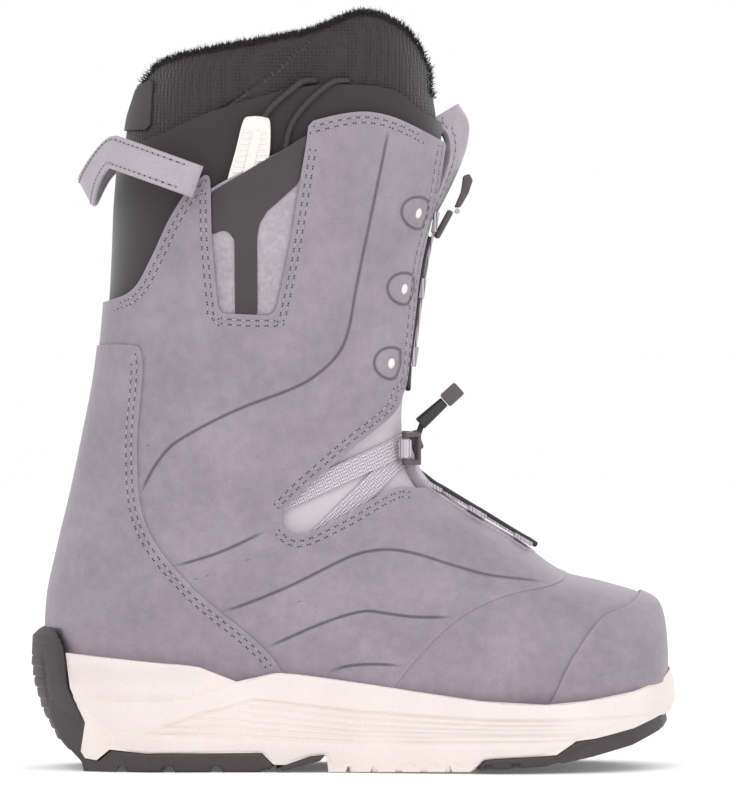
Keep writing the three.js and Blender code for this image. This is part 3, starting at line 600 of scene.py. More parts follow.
# key: name, darker tone, lighter tone, scale of the texture, roughness, bump
SPECKLED = {
    "thread": ("stitching thread", (0.27, 0.235, 0.27), (0.40, 0.36, 0.40), 3000, 0.7, 0.2),
    # the stitch holes are painted shade: dark discs stand in for the shade inside the needle holes
    "hole": ("needle hole shade", (0.02, 0.015, 0.02), (0.04, 0.03, 0.04), 900, 0.9, 0.2),
    "plastic": ("dark plastic", (0.07, 0.052, 0.058), (0.11, 0.088, 0.095), 2200, 0.36, 0.1),
    "pale plastic": ("pale plastic", (0.72, 0.67, 0.65), (0.80, 0.75, 0.73), 1500, 0.42, 0.06),
    "strap leather": ("strap leather", (0.33, 0.29, 0.335), (0.43, 0.385, 0.435), 1500, 0.5, 0.3),
    "lining": ("notch lining", (0.46, 0.42, 0.46), (0.58, 0.54, 0.58), 2600, 0.8, 0.5),
    "footbed": ("footbed cover", (0.16, 0.14, 0.15), (0.24, 0.21, 0.23), 2400, 0.9, 0.5),
    "tag": ("plain tag", (0.03, 0.025, 0.027), (0.05, 0.042, 0.045), 2400, 0.6, 0.3),
    "patch": ("pocket patch", (0.035, 0.028, 0.031), (0.06, 0.05, 0.054), 2600, 0.7, 0.4),
    "black rubber": ("black rubber", (0.02, 0.017, 0.018), (0.03, 0.027, 0.028), 1500, 0.5, 0.2),
    "pile": ("pile", (0.010, 0.008, 0.009), (0.03, 0.025, 0.027), 900, 0.85, 0.3),
    "board": ("lasting board", (0.40, 0.32, 0.21), (0.48, 0.39, 0.26), 800, 0.8, 0.2),
}
# key: name, darker tone, lighter tone, threads across, threads along, roughness, bump, bump distance, by UV
WOVEN = {
    "webbing cube": ("woven guide", (0.24, 0.205, 0.235), (0.56, 0.51, 0.55), 2300, 2300, 0.7, 0.9, 0.0004,
                     False),
    "lace": ("braided lace", (0.012, 0.010, 0.011), (0.05, 0.045, 0.048), 3400, 3400, 0.6, 0.8, 0.0003, True),
    "webbing": ("woven webbing", (0.30, 0.26, 0.30), (0.62, 0.57, 0.62), 3000, 2200, 0.7, 0.9, 0.0004, True),
}


def make_materials(look):
    """Builds the shared node groups, then every material, under the key that the pieces use."""
    GROUPS["leather grain"] = grain_group()
    GROUPS["pressed line"] = pressed_group()
    GROUPS["woven threads"] = weave_group()
    m = MATERIALS
    m["leather"] = leather_material("leather", tuple(look.leather_dark), tuple(look.leather_light))
    m["leather pale"] = leather_material("pale leather", (0.40, 0.345, 0.395), (0.50, 0.44, 0.49))
    m["tongue leather"] = leather_material("tongue leather", (0.33, 0.285, 0.325), (0.42, 0.37, 0.415))
    m["foam"] = speckled_material("midsole foam", tuple(look.foam_dark), tuple(look.foam_light), 1600,
                                  0.62, 0.18, Subsurface_Weight=0.05)
    m["rubber"] = speckled_material("outsole rubber", tuple(look.rubber_dark), tuple(look.rubber_light), 1300,
                                    0.55, 0.25)
    m["neoprene"] = speckled_material("stretch collar", (0.014, 0.011, 0.012), (0.026, 0.021, 0.023), 3800,
                                      0.75, 0.5, Sheen_Weight=0.35)
    m["pocket"] = speckled_material("pocket fabric", (0.27, 0.235, 0.265), (0.40, 0.36, 0.40), 420, 0.32, 0.5,
                                    0.0004, Sheen_Weight=0.3)
    m["steel"] = speckled_material("steel", (0.45, 0.45, 0.46), (0.55, 0.55, 0.56), 2000, 0.3, 0.1,
                                   Metallic=1.0)
    m["mesh"] = mesh_material()
    for key, values in SPECKLED.items():
        m[key] = speckled_material(*values)
    for key, values in WOVEN.items():
        m[key] = woven_material(*values)


# ---------------------------------------------------------------------------
# leather upper
def leather_attributes(bm, outline, lines=()):
    """Stores how far each point is from the piece's edge and from the pressed lines."""
    points = side_view(bm)
    set_attribute(bm, "edge_gap", np.clip(np.abs(signed_distance(points, outline)), 0, 20))
    gap = np.full(len(points), 9.0)
    mask = np.zeros(len(points))
    for distance, fade in lines:
        near = np.abs(distance) < np.abs(gap)
        gap = np.where(near, distance, gap)
        mask = np.where(near, fade, mask)
    mask = mask * (np.abs(gap) < 7)
    set_attribute(bm, "line_gap", np.clip(gap, -7, 7))
    set_attribute(bm, "line_mask", mask)


def pressed_lines(bm):
    points = side_view(bm)
    return [line_distance(points, spline(line, 6)) for line in PRESSED_LINES]


class BOOT_OT_upper(bpy.types.Operator):
    """Leather panels of the upper: toe cap, vamp, heel counter and the two sides"""

    bl_idname = "boot.upper"
    bl_label = "Leather upper"

    def execute(self, context):
        leather = MATERIALS["leather"]
        toe_edge = spline(TOE_EDGE)
        toe = np.vstack([toe_edge, [[155, 22], [155, 92]]])
        # the vamp runs on under its neighbours' edges
        vamp = np.vstack([spline(OVERLAY_EDGE) + (-5, 4), toe_edge[::-1] + (4, -3)])
        counter = counter_outline()

        self.panel("toe_cap_leather", toe, -0.9, leather, "foot", ("toe_cap",), 1.6)
        self.panel("vamp_leather", vamp, 0.4, leather, "foot", ("vamp",), 1.6)
        flex(self.panel("heel_counter_leather", counter, -1.1, leather, None, ("heel_counter",), 1.8))

        outline = side_outline()
        window = np.vstack([[(-66, 281)], POCKET, [(-19, 306)]])
        for name, sign in SIDES:
            bm = skin_bmesh(0.0)
            points = positions(bm)
            keep = np.minimum(signed_distance(points[:, [0, 2]], outline), floor_keep(points[:, [0, 2]]))
            keep = np.minimum(keep, -signed_distance(points[:, [0, 2]], window))
            keep = np.minimum(keep, sign * points[:, 1])
            throat = np.where(points[:, 0] > -20, np.abs(points[:, 1]) - throat_half(points), 9.0)
            keep = np.minimum(keep, throat)
            trim(bm, keep)
            leather_attributes(bm, outline, pressed_lines(bm) + rivet_frames(bm))
            piece = finish_object(bm, f"side_leather_{name}", leather, None,
                                  (f"cuff_{name}", f"quarter_{name}"))
            wall(piece, in_mm(context.scene.boot_look.leather), 0.5)
            flex(piece)
        return {"FINISHED"}

    def panel(self, name, outline, depth, leather, body, replaced, thickness):
        bm = skin_bmesh(depth)
        points = side_view(bm)
        keep = np.minimum(signed_distance(points, outline), floor_keep(points))
        trim(bm, keep)
        leather_attributes(bm, outline)
        piece = finish_object(bm, name, leather, body, replaced)
        wall(piece, thickness, 0.5)
        return piece


def throat_half(points):
    """Half width of the front opening: straight up the shin, with a round end over the instep."""
    x, z = points[:, 0], points[:, 2]
    shin = np.full(len(points), 17.0)
    left = np.clip(1 - ((x - 68) / 14) ** 2, 0, 1)
    instep = np.where(x < 68, 14.0, 14.0 * np.sqrt(left) - np.where(x > 82, 4.0, 0.0))
    return np.where(z > 150, shin, np.where(x > 0, instep, 14.0))


RIVET_FRAMES = ((28.6, 251.0, 0.28), (22.3, 217.0, 0.2), (16.4, 183.5, 0.16))  # x, z, lean


def rivet_outline(x, z, lean):
    """A D with its straight side towards the lacing."""
    points = []
    for i in range(25):
        angle = math.pi / 2 + math.pi * i / 24
        points.append((8.2 * math.cos(angle), 7.2 * math.sin(angle)))
    points += [(2.6, -6.4), (3.6, 0.0), (2.6, 6.4)]
    c, s = math.cos(-lean), math.sin(-lean)
    return np.array([(x + 0.5 + a * c - b * s, z + a * s + b * c) for a, b in points])


def rivet_frames(bm):
    points = side_view(bm)
    found = []
    for x, z, lean in RIVET_FRAMES:
        distance = -signed_distance(points, rivet_outline(x, z, lean))
        found.append((distance, (np.abs(distance) < 2.6).astype(float)))
    return found


# ---------------------------------------------------------------------------
# sole, in millimetres; the plan in x and y, the edges and lines in the side view in x and z
SOLE_PLAN = ((-146.4, 0), (-139, -20), (-122, -35.5), (-95, -43.5), (-45, -42.5), (0, -47), (40, -55),
             (75, -58), (105, -52), (128, -37), (141, -17), (146.4, 9), (142, 27), (128, 44.5), (105, 55),
             (75, 56.5), (40, 51), (0, 42), (-45, 40), (-95, 43), (-122, 35.5), (-139, 20))
MIDSOLE_TOP = ((-131, 53), (-93, 49.5), (-70.4, 47.3), (-53.6, 40.8), (-41, 43.6), (-29.5, 44.5), (9, 39.5),
               (56.8, 32.7), (86, 31), (105.4, 32.7), (126.4, 36.4), (140.4, 41), (152, 45.5))
TOE_RUBBER_TOP = ((150, 24.5), (139, 24.5), (126.4, 19.5), (109, 15.5), (100, 14.5), (91, 8.4), (58, 6.4))
TOE_RUBBER_BOTTOM = ((55.5, 1.6), (84.5, 3.4), (105, 6.6), (126.4, 11.8), (140, 17.8), (150, 21))
HEEL_RUBBER_TOP = ((-122.5, 5.9), (-117, 5), (-111, 10), (-93, 8.3), (-42, 8.6), (-37, 3.6))
GUARD_FRONT = ((-135.5, 64), (-133, 58), (-131.6, 53.2), (-129.5, 37.3), (-122.5, 22), (-124.5, 9))
GUARD_BACK = ((-125, 0.2), (-140, 5), (-152, 12), (-156, 60), (-141, 64.2))
ARCH_INSERT = ((-36, 1.6), (-31.8, 0.6), (-15.5, 5.2), (-13, 8), (-20, 7.3), (-31.4, 3.2))
# how far back and forward the wall reaches at each height: z, x
REAR_EDGE = ((0, -122), (4.2, -125), (13, -134), (26, -141), (39.5, -145), (51, -146.4), (60, -146),
             (64, -142))
FRONT_EDGE = ((0, 118), (6.6, 124), (11.8, 133), (17.8, 140), (21, 141.8), (24.3, 141.2), (25.2, 144),
              (31.4, 146.2), (45.5, 144.5))
GROOVES = (
    ((-47.7, 32.3), (2.3, 26.8), (62.3, 23.6), (97.7, 23.2)),
    ((-55.5, 29.5), (2.3, 23.6), (62.3, 21.4), (97.7, 21.4)),
    ((-68.2, 26.8), (2.3, 20.5), (62.3, 19.5), (97.7, 19.5)),
    ((-75, 24.1), (2.3, 18.2), (62.3, 17.7), (97.7, 17.7)),
    ((-86.4, 20.5), (2.3, 15.9), (62.3, 16.4), (97.7, 16.4)),
    ((-92.3, 17.3), (2.3, 13.6), (62.3, 14.1), (97.7, 14.5)),
)
# lower edge of the finely lined panel over the heel
SWOOSH_TOP = ((-135, 35), (-123.8, 33.8), (-109.5, 31.8), (-90.4, 30.6), (-75.9, 32.4), (-61.6, 36.8),
              (-53.6, 40.9))
TOE_NOTCHES = ((58, 62), (70, 74), (87, 92), (101, 106), (115, 119), (128, 132))


def tread_line(x0, x1, z0, z1, blocks, depth=2.6):
    """The bottom edge of a row of tread blocks in the side view."""
    pitch = (x1 - x0) / blocks
    line = []
    for i in range(blocks):
        x = x0 + i * pitch
        z = [z0 + (z1 - z0) * (at - x0) / (x1 - x0) for at in (x, x + 0.72 * pitch, x + pitch)]
        line += [(x, z[0]), (x + 0.72 * pitch, z[1])]
        if i < blocks - 1:
            line += [(x + 0.72 * pitch + 0.8, z[1] + depth), (x + pitch - 0.8, z[2] + depth)]
    return line


def sole_surface(z, columns):
    """Points and outward directions of the sole's wall at the heights z, and how far round each is."""
    closed = np.vstack([SOLE_PLAN, SOLE_PLAN[:3]])
    dense = catmull(np.vstack([SOLE_PLAN[-1], closed]), np.linspace(0, len(SOLE_PLAN), 1400))
    run = np.concatenate([[0], np.cumsum(np.hypot(*np.diff(dense, axis=0).T))])
    at = np.linspace(0, run[-1], columns, endpoint=False)
    plan = np.stack([np.interp(at, run, dense[:, 0]), np.interp(at, run, dense[:, 1])], 1)
    tangent = np.roll(plan, -1, 0) - np.roll(plan, 1, 0)
    out = np.stack([tangent[:, 1], -tangent[:, 0]], 1)
    out /= np.linalg.norm(out, axis=1)[:, None]
    if np.sum(out * plan) < 0:
        out = -out
    rear = np.interp(z, *np.array(REAR_EDGE).T)[:, None]
    front = np.interp(z, *np.array(FRONT_EDGE).T)[:, None]
    x, y = plan[:, 0][None], plan[:, 1][None]
    moved = np.where(x < -90, -90 + (x + 90) * (-90 - rear) / 56.4, x + 0 * rear)
    moved = np.where(x > 70, 70 + (x - 70) * (front - 70) / 76.4, moved)
    low = np.clip((22 - z) / 22, 0, 1)[:, None]
    points = np.stack([moved, y * (1 - 0.035 * low ** 2)], 2)
    return points, np.broadcast_to(out, points.shape), at


def sole_shell(outline, step, columns, proud, rounding, relief=None):
    """A piece of the sole's wall inside a side-view outline, with rounded edges and a relief."""
    outline = np.array(outline, float)
    z = np.arange(outline[:, 1].min() - 0.2, outline[:, 1].max() + step, step)
    points, out, along = sole_surface(z, columns)
    rows = len(z)
    side = np.stack([points[..., 0], np.broadcast_to(z[:, None], points.shape[:2])], 2)
    flat = side.reshape(-1, 2)
    edge = signed_distance(flat, outline)
    lift = np.full(len(flat), float(proud))
    near = np.clip(1 - edge / rounding, 0, 1)
    lift -= rounding * (1 - np.sqrt(np.clip(1 - near ** 2, 0, 1)))
    if relief:
        lift += relief(flat[:, 0], flat[:, 1], np.tile(along, rows))
    lift = lift.reshape(rows, columns, 1)
    moved = points + out * lift
    bm = bmesh.new()
    bmesh.ops.create_grid(bm, x_segments=columns, y_segments=rows - 1, size=1.0)
    values = edge.reshape(rows, columns)
    layer = bm.verts.layers.float.new("side")
    for v in bm.verts:
        j = round((v.co.x + 1) / 2 * columns) % columns
        i = round((v.co.y + 1) / 2 * (rows - 1))
        v.co = (moved[i, j, 0] * MM, moved[i, j, 1] * MM, z[i] * MM)
        v[layer] = values[i, j]
    bmesh.ops.remove_doubles(bm, verts=bm.verts, dist=1e-6)
    layer = bm.verts.layers.float["side"]
    trim(bm, [v[layer] for v in bm.verts])
    bmesh.ops.recalc_face_normals(bm, faces=bm.faces)
    return bm


def step_up(value, width):
    return smoothstep(value / width + 0.5)


def foam_relief(x, z, along):
    """Grooves along the foam, the raised band over the heel and the finely lined panel above it."""
    top = np.interp(x, *np.array(SWOOSH_TOP).T)
    panel = step_up(z - top, 1.0) * step_up(-52 - x, 6)
    lift = -1.0 * panel
    lift += 0.16 * panel * np.sin(z * 2 * np.pi / 1.15)
    starts = np.array([(g[0][1], g[0][0]) for g in reversed(GROOVES)])
    left = np.interp(z, starts[:, 0], starts[:, 1])
    left = np.where(z > 32.3, -47.7 + (z - 32.3) * 3.5, left)
    first = np.interp(x, *np.array(GROOVES[0]).T) + 1.0
    last = np.interp(x, *np.array(GROOVES[-1]).T) - 1.6
    inside = step_up(first - z, 0.9) * step_up(z - last, 3.0) * step_up(x - left, 5) * step_up(97 - x, 30)
    lift -= 0.85 * inside
    for groove in GROOVES:
        g = np.array(groove)
        height = np.interp(x, g[:, 0], g[:, 1])
        share = step_up(x - g[0, 0] - 2, 8) * step_up(96 - x, 16)
        slope = z - height
        lift -= 0.75 * share * np.exp(-(slope / 0.42) ** 2)
        lift += 0.28 * share * np.exp(-((slope + 1.2) / 0.7) ** 2)
    return lift


def guard_relief(x, z, along):
    """Steps up the back of the heel guard and the dashed line under its cap."""
    border = np.interp(z, (5, 12.3, 23.6, 35, 50.9, 64), (-125.9, -130.9, -136.4, -138.6, -140.4, -141))
    strip = step_up(border - x, 0.8) * step_up(51.2 - z, 0.5) * step_up(z - 3.0, 0.5)
    phase = ((z - 3.0) / 4.8) % 1
    tooth = 0.9 - 1.0 * phase - 0.8 * np.exp(-(np.minimum(phase, 1 - phase) / 0.09) ** 2)
    lift = strip * tooth * 0.8
    lift -= 0.5 * np.exp(-((x - border) / 0.5) ** 2) * step_up(52 - z, 1) * step_up(z - 3, 1)
    dash = (np.abs((along / 3.2) % 1 - 0.5) < 0.34).astype(float)
    lift -= 0.55 * dash * np.exp(-((z - 56.4) / 0.4) ** 2) * step_up(-136 - x, 2)
    return lift


def cad_copy(*nodes):
    """A merged copy of CAD nodes as a bmesh."""
    bm = bmesh.new()
    for node in nodes:
        source = bpy.data.objects[node]
        part = bmesh.new()
        part.from_mesh(source.data)
        part.transform(source.matrix_world)
        mesh = bpy.data.meshes.new("part")
        part.to_mesh(mesh)
        part.free()
        bm.from_mesh(mesh)
        bpy.data.meshes.remove(mesh)
    bmesh.ops.remove_doubles(bm, verts=bm.verts, dist=2e-6)
    bmesh.ops.dissolve_limit(bm, angle_limit=math.radians(0.6), verts=bm.verts, edges=bm.edges)
    bmesh.ops.recalc_face_normals(bm, faces=bm.faces)
    return bm


def reworked(node, name, mat, body, bevel=0.5, squeeze=None, segments=3):
    """A CAD piece whose shape is right, with rounded edges and its own material."""
    bm = cad_copy(node)
    if squeeze:
        bmesh.ops.scale(bm, verts=bm.verts, vec=squeeze)
    obj = finish_object(bm, name, mat, body, (node,))
    round_edges(obj, bevel, segments, 30)
    weighted = obj.modifiers.new("shading", "WEIGHTED_NORMAL")
    weighted.keep_sharp = True
    return obj


def move_mesh(obj, shift):
    """Moves a piece's vertices by a shift in mm and leaves the object where it is."""
    obj.data.transform(Matrix.Translation(Vector(shift) * MM))


class BOOT_OT_sole(bpy.types.Operator):
    """Foam midsole, rubber heel with its guard, rubber toe and the arch insert"""

    bl_idname = "boot.sole"
    bl_label = "Sole"

    def execute(self, context):
        foam, rubber = MATERIALS["foam"], MATERIALS["rubber"]
        heel = [*tread_line(-124, -38, 0, 0, 4), (-36.5, 2.6), *reversed(HEEL_RUBBER_TOP),
                *spline(GUARD_FRONT, 5)[::-1], *reversed(GUARD_BACK)]
        toe = notch_outline([*TOE_RUBBER_BOTTOM, *TOE_RUBBER_TOP], TOE_NOTCHES)
        middle = [*GUARD_FRONT[2:], *HEEL_RUBBER_TOP, (-36.5, 3.4), (-31.4, 3.2), (-20, 7.3), (-13, 8),
                  *tread_line(-12, 55, 0.2, 1, 7, 3.0), *reversed(TOE_RUBBER_TOP),
                  *spline(MIDSOLE_TOP, 5)[::-1]]
        bm = sole_shell(middle, 0.55, 500, 0.0, 1.5, foam_relief)
        wall(finish_object(bm, "midsole_wall", foam, "foot", ("midsole",)), 3.2)
        bm = sole_shell(heel, 0.5, 460, 0.6, 1.1, guard_relief)
        wall(finish_object(bm, "heel_rubber_wall", rubber, "foot", ("outsole_heel",)), 5.5)
        bm = sole_shell(toe, 0.5, 460, 0.5, 0.8)
        wall(finish_object(bm, "toe_rubber_wall", rubber, "foot", ("outsole_toe",)), 5.5)
        reworked("midsole", "midsole_core", foam, "foot", 0.6, (0.992, 0.975, 1))
        reworked("outsole_heel", "heel_rubber_tread", rubber, "foot", 0.5, (0.985, 0.96, 1))
        reworked("outsole_toe", "toe_rubber_tread", rubber, "foot", 0.5, (0.985, 0.96, 1))
        reworked("arch_insert", "arch_rubber", rubber, "foot", 0.5, None)
        return {"FINISHED"}


def notch_outline(outline, notches, depth=2.2):
    """Cuts notches, given by their x range, into the first run of an outline that goes towards +X."""
    points = []
    xs, zs = np.array(outline[:6]).T
    line = sorted({x for a, b in notches for x in (a, a + 0.6, b - 0.6, b)} | set(xs))
    for x in line:
        z = float(np.interp(x, xs, zs))
        deep = any(a + 0.3 < x < b - 0.3 for a, b in notches)
        points.append((x, z + depth if deep else z))
    return points + list(outline[6:])


# ---------------------------------------------------------------------------
# stitching
_casters = {}


def caster(depth):
    if depth not in _casters:
        bm = skin_bmesh(depth)
        _casters[depth] = BVHTree.FromBMesh(bm)
        bm.free()
    return _casters[depth]


def on_skin(x, z, sign, depth=0.0):
    """Point and outward normal of the skin seen from the side at x, z in mm; metres."""
    start = Vector((x * MM, sign * 0.3, z * MM))
    place, normal, _, _ = caster(depth).ray_cast(start, Vector((0, -sign, 0)))
    if place is None:
        return None
    if normal.y * sign < 0:
        normal = -normal
    return place, normal


def offset_line(points, distance, inside=None):
    """The line moved sideways, to the side that is inside an outline when one is given."""
    p = np.array(points, float)
    t = np.gradient(p, axis=0)
    t /= np.linalg.norm(t, axis=1)[:, None] + 1e-9
    n = np.stack([-t[:, 1], t[:, 0]], 1)
    if inside is not None:
        test = signed_distance(p[len(p) // 2][None] + n[len(p) // 2] * 1.5, inside)[0]
        if test < 0:
            n = -n
    return p + n * distance


def even_steps(points, pitch):
    """Places at an even pitch along a line, and the line's direction at each."""
    p = np.array(points, float)
    run = np.concatenate([[0], np.cumsum(np.linalg.norm(np.diff(p, axis=0), axis=1))])
    count = max(int(run[-1] / pitch), 1)
    at = (np.arange(count) + 0.5) * run[-1] / count
    ahead = np.clip(at + 0.2, 0, run[-1])
    behind = np.clip(at - 0.2, 0, run[-1])
    return point_at(at, run, p), point_at(ahead, run, p) - point_at(behind, run, p)


def point_at(at, run, points):
    """Points at the lengths at along a line whose points lie at the lengths run."""
    return np.stack([np.interp(at, run, points[:, k]) for k in range(points.shape[1])], 1)


def stitch_line(found, points, sign, depth=0.0, reject=None):
    """Stitches along a side-view line on the skin."""
    places, tangents = even_steps(points, in_mm(bpy.context.scene.boot_look.stitch_pitch))
    for (x, z), (dx, dz) in zip(places, tangents):
        if reject is not None and reject(x, z):
            continue
        here = on_skin(x, z, sign, depth)
        there = on_skin(x + dx * 2, z + dz * 2, sign, depth)
        if here is None or there is None or abs(here[1].y) < 0.12:
            continue
        found.append((here[0], here[1], there[0] - here[0]))


class BOOT_OT_stitching(bpy.types.Operator):
    """Double rows of stitches along the panels' edges, and the pale rivets"""

    bl_idname = "boot.stitching"
    bl_label = "Stitching and rivets"

    def execute(self, context):
        found = []
        counter = counter_outline()
        upper = side_outline()
        for _, sign in SIDES:
            for gap in (2.5, 4.9):
                line = offset_line(spline(COUNTER_EDGE), gap, counter)
                stitch_line(found, line, sign, -1.1, lambda x, z: z < 47 or z > 190 - gap or x < -132)
                line = offset_line(spline(CUFF_TOP), gap, upper)
                stitch_line(found, line, sign, 0, lambda x, z: x < -108 or x > 30 or -67 < x < -20)
                line = offset_line(spline(NOTCH_UPPER), gap, upper)
                stitch_line(found, line, sign, 0, lambda x, z: x > 20)
                line = offset_line(spline(NOTCH_LOWER), gap, upper)
                stitch_line(found, line, sign, 0, lambda x, z: x > 26)
                line = offset_line(spline(POCKET, 4), 0.3 - gap)
                stitch_line(found, line, sign, 0, lambda x, z: z > 281)
            for gap in (1.6, 3.6):
                stitch_line(found, offset_line(spline(EYESTAY), gap, upper), sign)
        flex(stitches_object("stitching", found, None))

        for name, sign in SIDES:
            for i, (x, z, _) in enumerate(RIVET_FRAMES):
                place, normal = on_skin(x, z, sign)
                bm = bmesh.new()
                up = Vector((0.2, 0, 1))
                up = (up - normal * up.dot(normal)).normalized()
                matrix = Matrix((normal.cross(up), up, normal)).transposed().to_4x4()
                matrix.translation = place
                made = bmesh.ops.create_uvsphere(bm, u_segments=24, v_segments=12, radius=1.0)
                size = Matrix.Diagonal((1.9 * MM, 2.4 * MM, 0.95 * MM, 1))
                bmesh.ops.transform(bm, verts=made["verts"], matrix=matrix @ size)
                finish_object(bm, f"rivet_head_{name}_{i + 1}", MATERIALS["pale plastic"], "cuff",
                              (f"eyestay_rivet_{name}_{i + 1}",))
        return {"FINISHED"}


def counter_outline():
    """The heel counter in the side view."""
    return np.vstack([spline(COUNTER_EDGE), [[-155, 20], [-155, 190]]])


def side_outline():
    """A whole side of the upper in the side view, from the cuff's top down to the sole."""
    return np.vstack([spline(CUFF_TOP), spline(EYESTAY), spline(NOTCH_UPPER), spline(NOTCH_LOWER),
                      [[60, 127], [97, 110]], spline(OVERLAY_EDGE), [[-24, 20], [-150, 20], [-150, 207]]])


# ---------------------------------------------------------------------------
# tubes and straps
def sweep(bm, path, profile, frames):
    """Sweeps a closed profile of across, out pairs along a path; caps the ends; lays out UVs in metres."""
    uv = bm.loops.layers.uv.get("UVMap") or bm.loops.layers.uv.new("UVMap")
    rings = []
    for point, (wide, out) in zip(path, frames):
        rings.append([bm.verts.new(Vector(point) + wide * a + out * b) for a, b in profile])
    run = 0.0
    around = [0.0]
    for (a, b), (c, d) in zip(profile, profile[1:] + profile[:1]):
        around.append(around[-1] + math.hypot(c - a, d - b))
    for i in range(len(rings) - 1):
        length = (Vector(path[i + 1]) - Vector(path[i])).length
        for j in range(len(profile)):
            k = (j + 1) % len(profile)
            face = bm.faces.new((rings[i][j], rings[i][k], rings[i + 1][k], rings[i + 1][j]))
            face.smooth = True
            for loop, (u, v) in zip(face.loops, ((run, around[j]), (run, around[j + 1]),
                                                 (run + length, around[j + 1]), (run + length, around[j]))):
                loop[uv].uv = (u, v)
        run += length
    bm.faces.new(rings[0][::-1])
    bm.faces.new(rings[-1])
    return run


def round_profile(radius, sides=14):
    """A round section, across and out."""
    angles = [2 * math.pi * i / sides for i in range(sides)]
    return [(radius * math.cos(angle), radius * math.sin(angle)) for angle in angles]


def strap_profile(width, thickness):
    """A flat strap's section with rounded edges, across and out, in metres."""
    half, thin = width / 2, thickness / 2
    points = []
    for cx, cy, start in ((half - thin, 0, -90), (-half + thin, 0, 90)):
        for i in range(7):
            angle = math.radians(start + 30 * i)
            points.append((cx + thin * math.cos(angle), cy + thin * math.sin(angle)))
    return points


def path_frames(path, lean=None):
    """Directions across and out at each point of a path."""
    points = [Vector(p) for p in path]
    frames = []
    across = None
    for i, p in enumerate(points):
        forward = (points[min(i + 1, len(points) - 1)] - points[max(i - 1, 0)]).normalized()
        if lean is not None:
            across = Vector(lean(i / (len(points) - 1)))
        elif across is None:
            across = forward.orthogonal()
        across = (across - forward * across.dot(forward)).normalized()
        frames.append((across, across.cross(forward)))
    return frames


def cord_object(name, points, body, replaced):
    """A braided lace along points in mm."""
    diameter = in_mm(bpy.context.scene.boot_look.lace)
    path = [Vector(p) * MM for p in spline(points, 10)]
    bm = bmesh.new()
    length = sweep(bm, path, round_profile(diameter / 2 * MM), path_frames(path))
    bmesh.ops.recalc_face_normals(bm, faces=bm.faces)
    obj = finish_object(bm, name, MATERIALS["lace"], body, replaced)
    return obj


# ---------------------------------------------------------------------------
# ankle notch
STRAP_WIDTH = 9
INSTEP_PAD = ((2, 84), (80, 84), (86, 96), (60, 123), (34, 147), (2, 147))
FRONT_GUSSET = ((0, 118), (40, 118), (44, 135), (34, 176), (0, 176))
INSTEP_LACE = ((28, 5, 135), (36, -4.2, 129), (40, -4.2, 126.7), (54, 4.2, 118.1), (58, 4.2, 115.8),
               (74, -4.2, 106.1), (79, -3.6, 103.3), (82, 0, 101.3))
RELEASE_LACE = ((26, -4, 140), (27.5, -4.6, 146), (29, -5, 152), (31.5, -5, 158.5))


def skin_piece(name, outline, depth, thickness, mat, body, replaced, sign=0, bevel=0.5, extra=None,
               bulge=None):
    """A piece cut from the boot's skin by a side-view outline, on one side (sign) or both (0)."""
    bm = skin_bmesh(depth)
    points = positions(bm)
    outline = np.array(outline, float)
    keep = signed_distance(points[:, [0, 2]], outline)
    if sign:
        keep = np.minimum(keep, sign * points[:, 1])
    if extra is not None:
        keep = np.minimum(keep, extra(points))
    trim(bm, keep)
    leather_attributes(bm, outline)
    if bulge:
        border, height, reach = bulge
        inside = signed_distance(side_view(bm), np.array(border, float))
        normals_out(bm, height * smoothstep(inside / reach))
    uv = bm.loops.layers.uv.new("UVMap")
    turn = np.array(outline[1]) - np.array(outline[0])
    turn /= np.linalg.norm(turn)
    for face in bm.faces:
        for loop in face.loops:
            co = loop.vert.co
            loop[uv].uv = (co.x * turn[0] + co.z * turn[1], co.z * turn[0] - co.x * turn[1])
    piece = finish_object(bm, name, mat, body, replaced)
    wall(piece, thickness, bevel)
    return piece


def band_outline(a, b, width):
    """A straight band from a to b in the side view."""
    a, b = np.array(a, float), np.array(b, float)
    along = (b - a) / np.linalg.norm(b - a)
    side = np.array((-along[1], along[0])) * width / 2
    return [a - side, b - side, b + side, a + side]


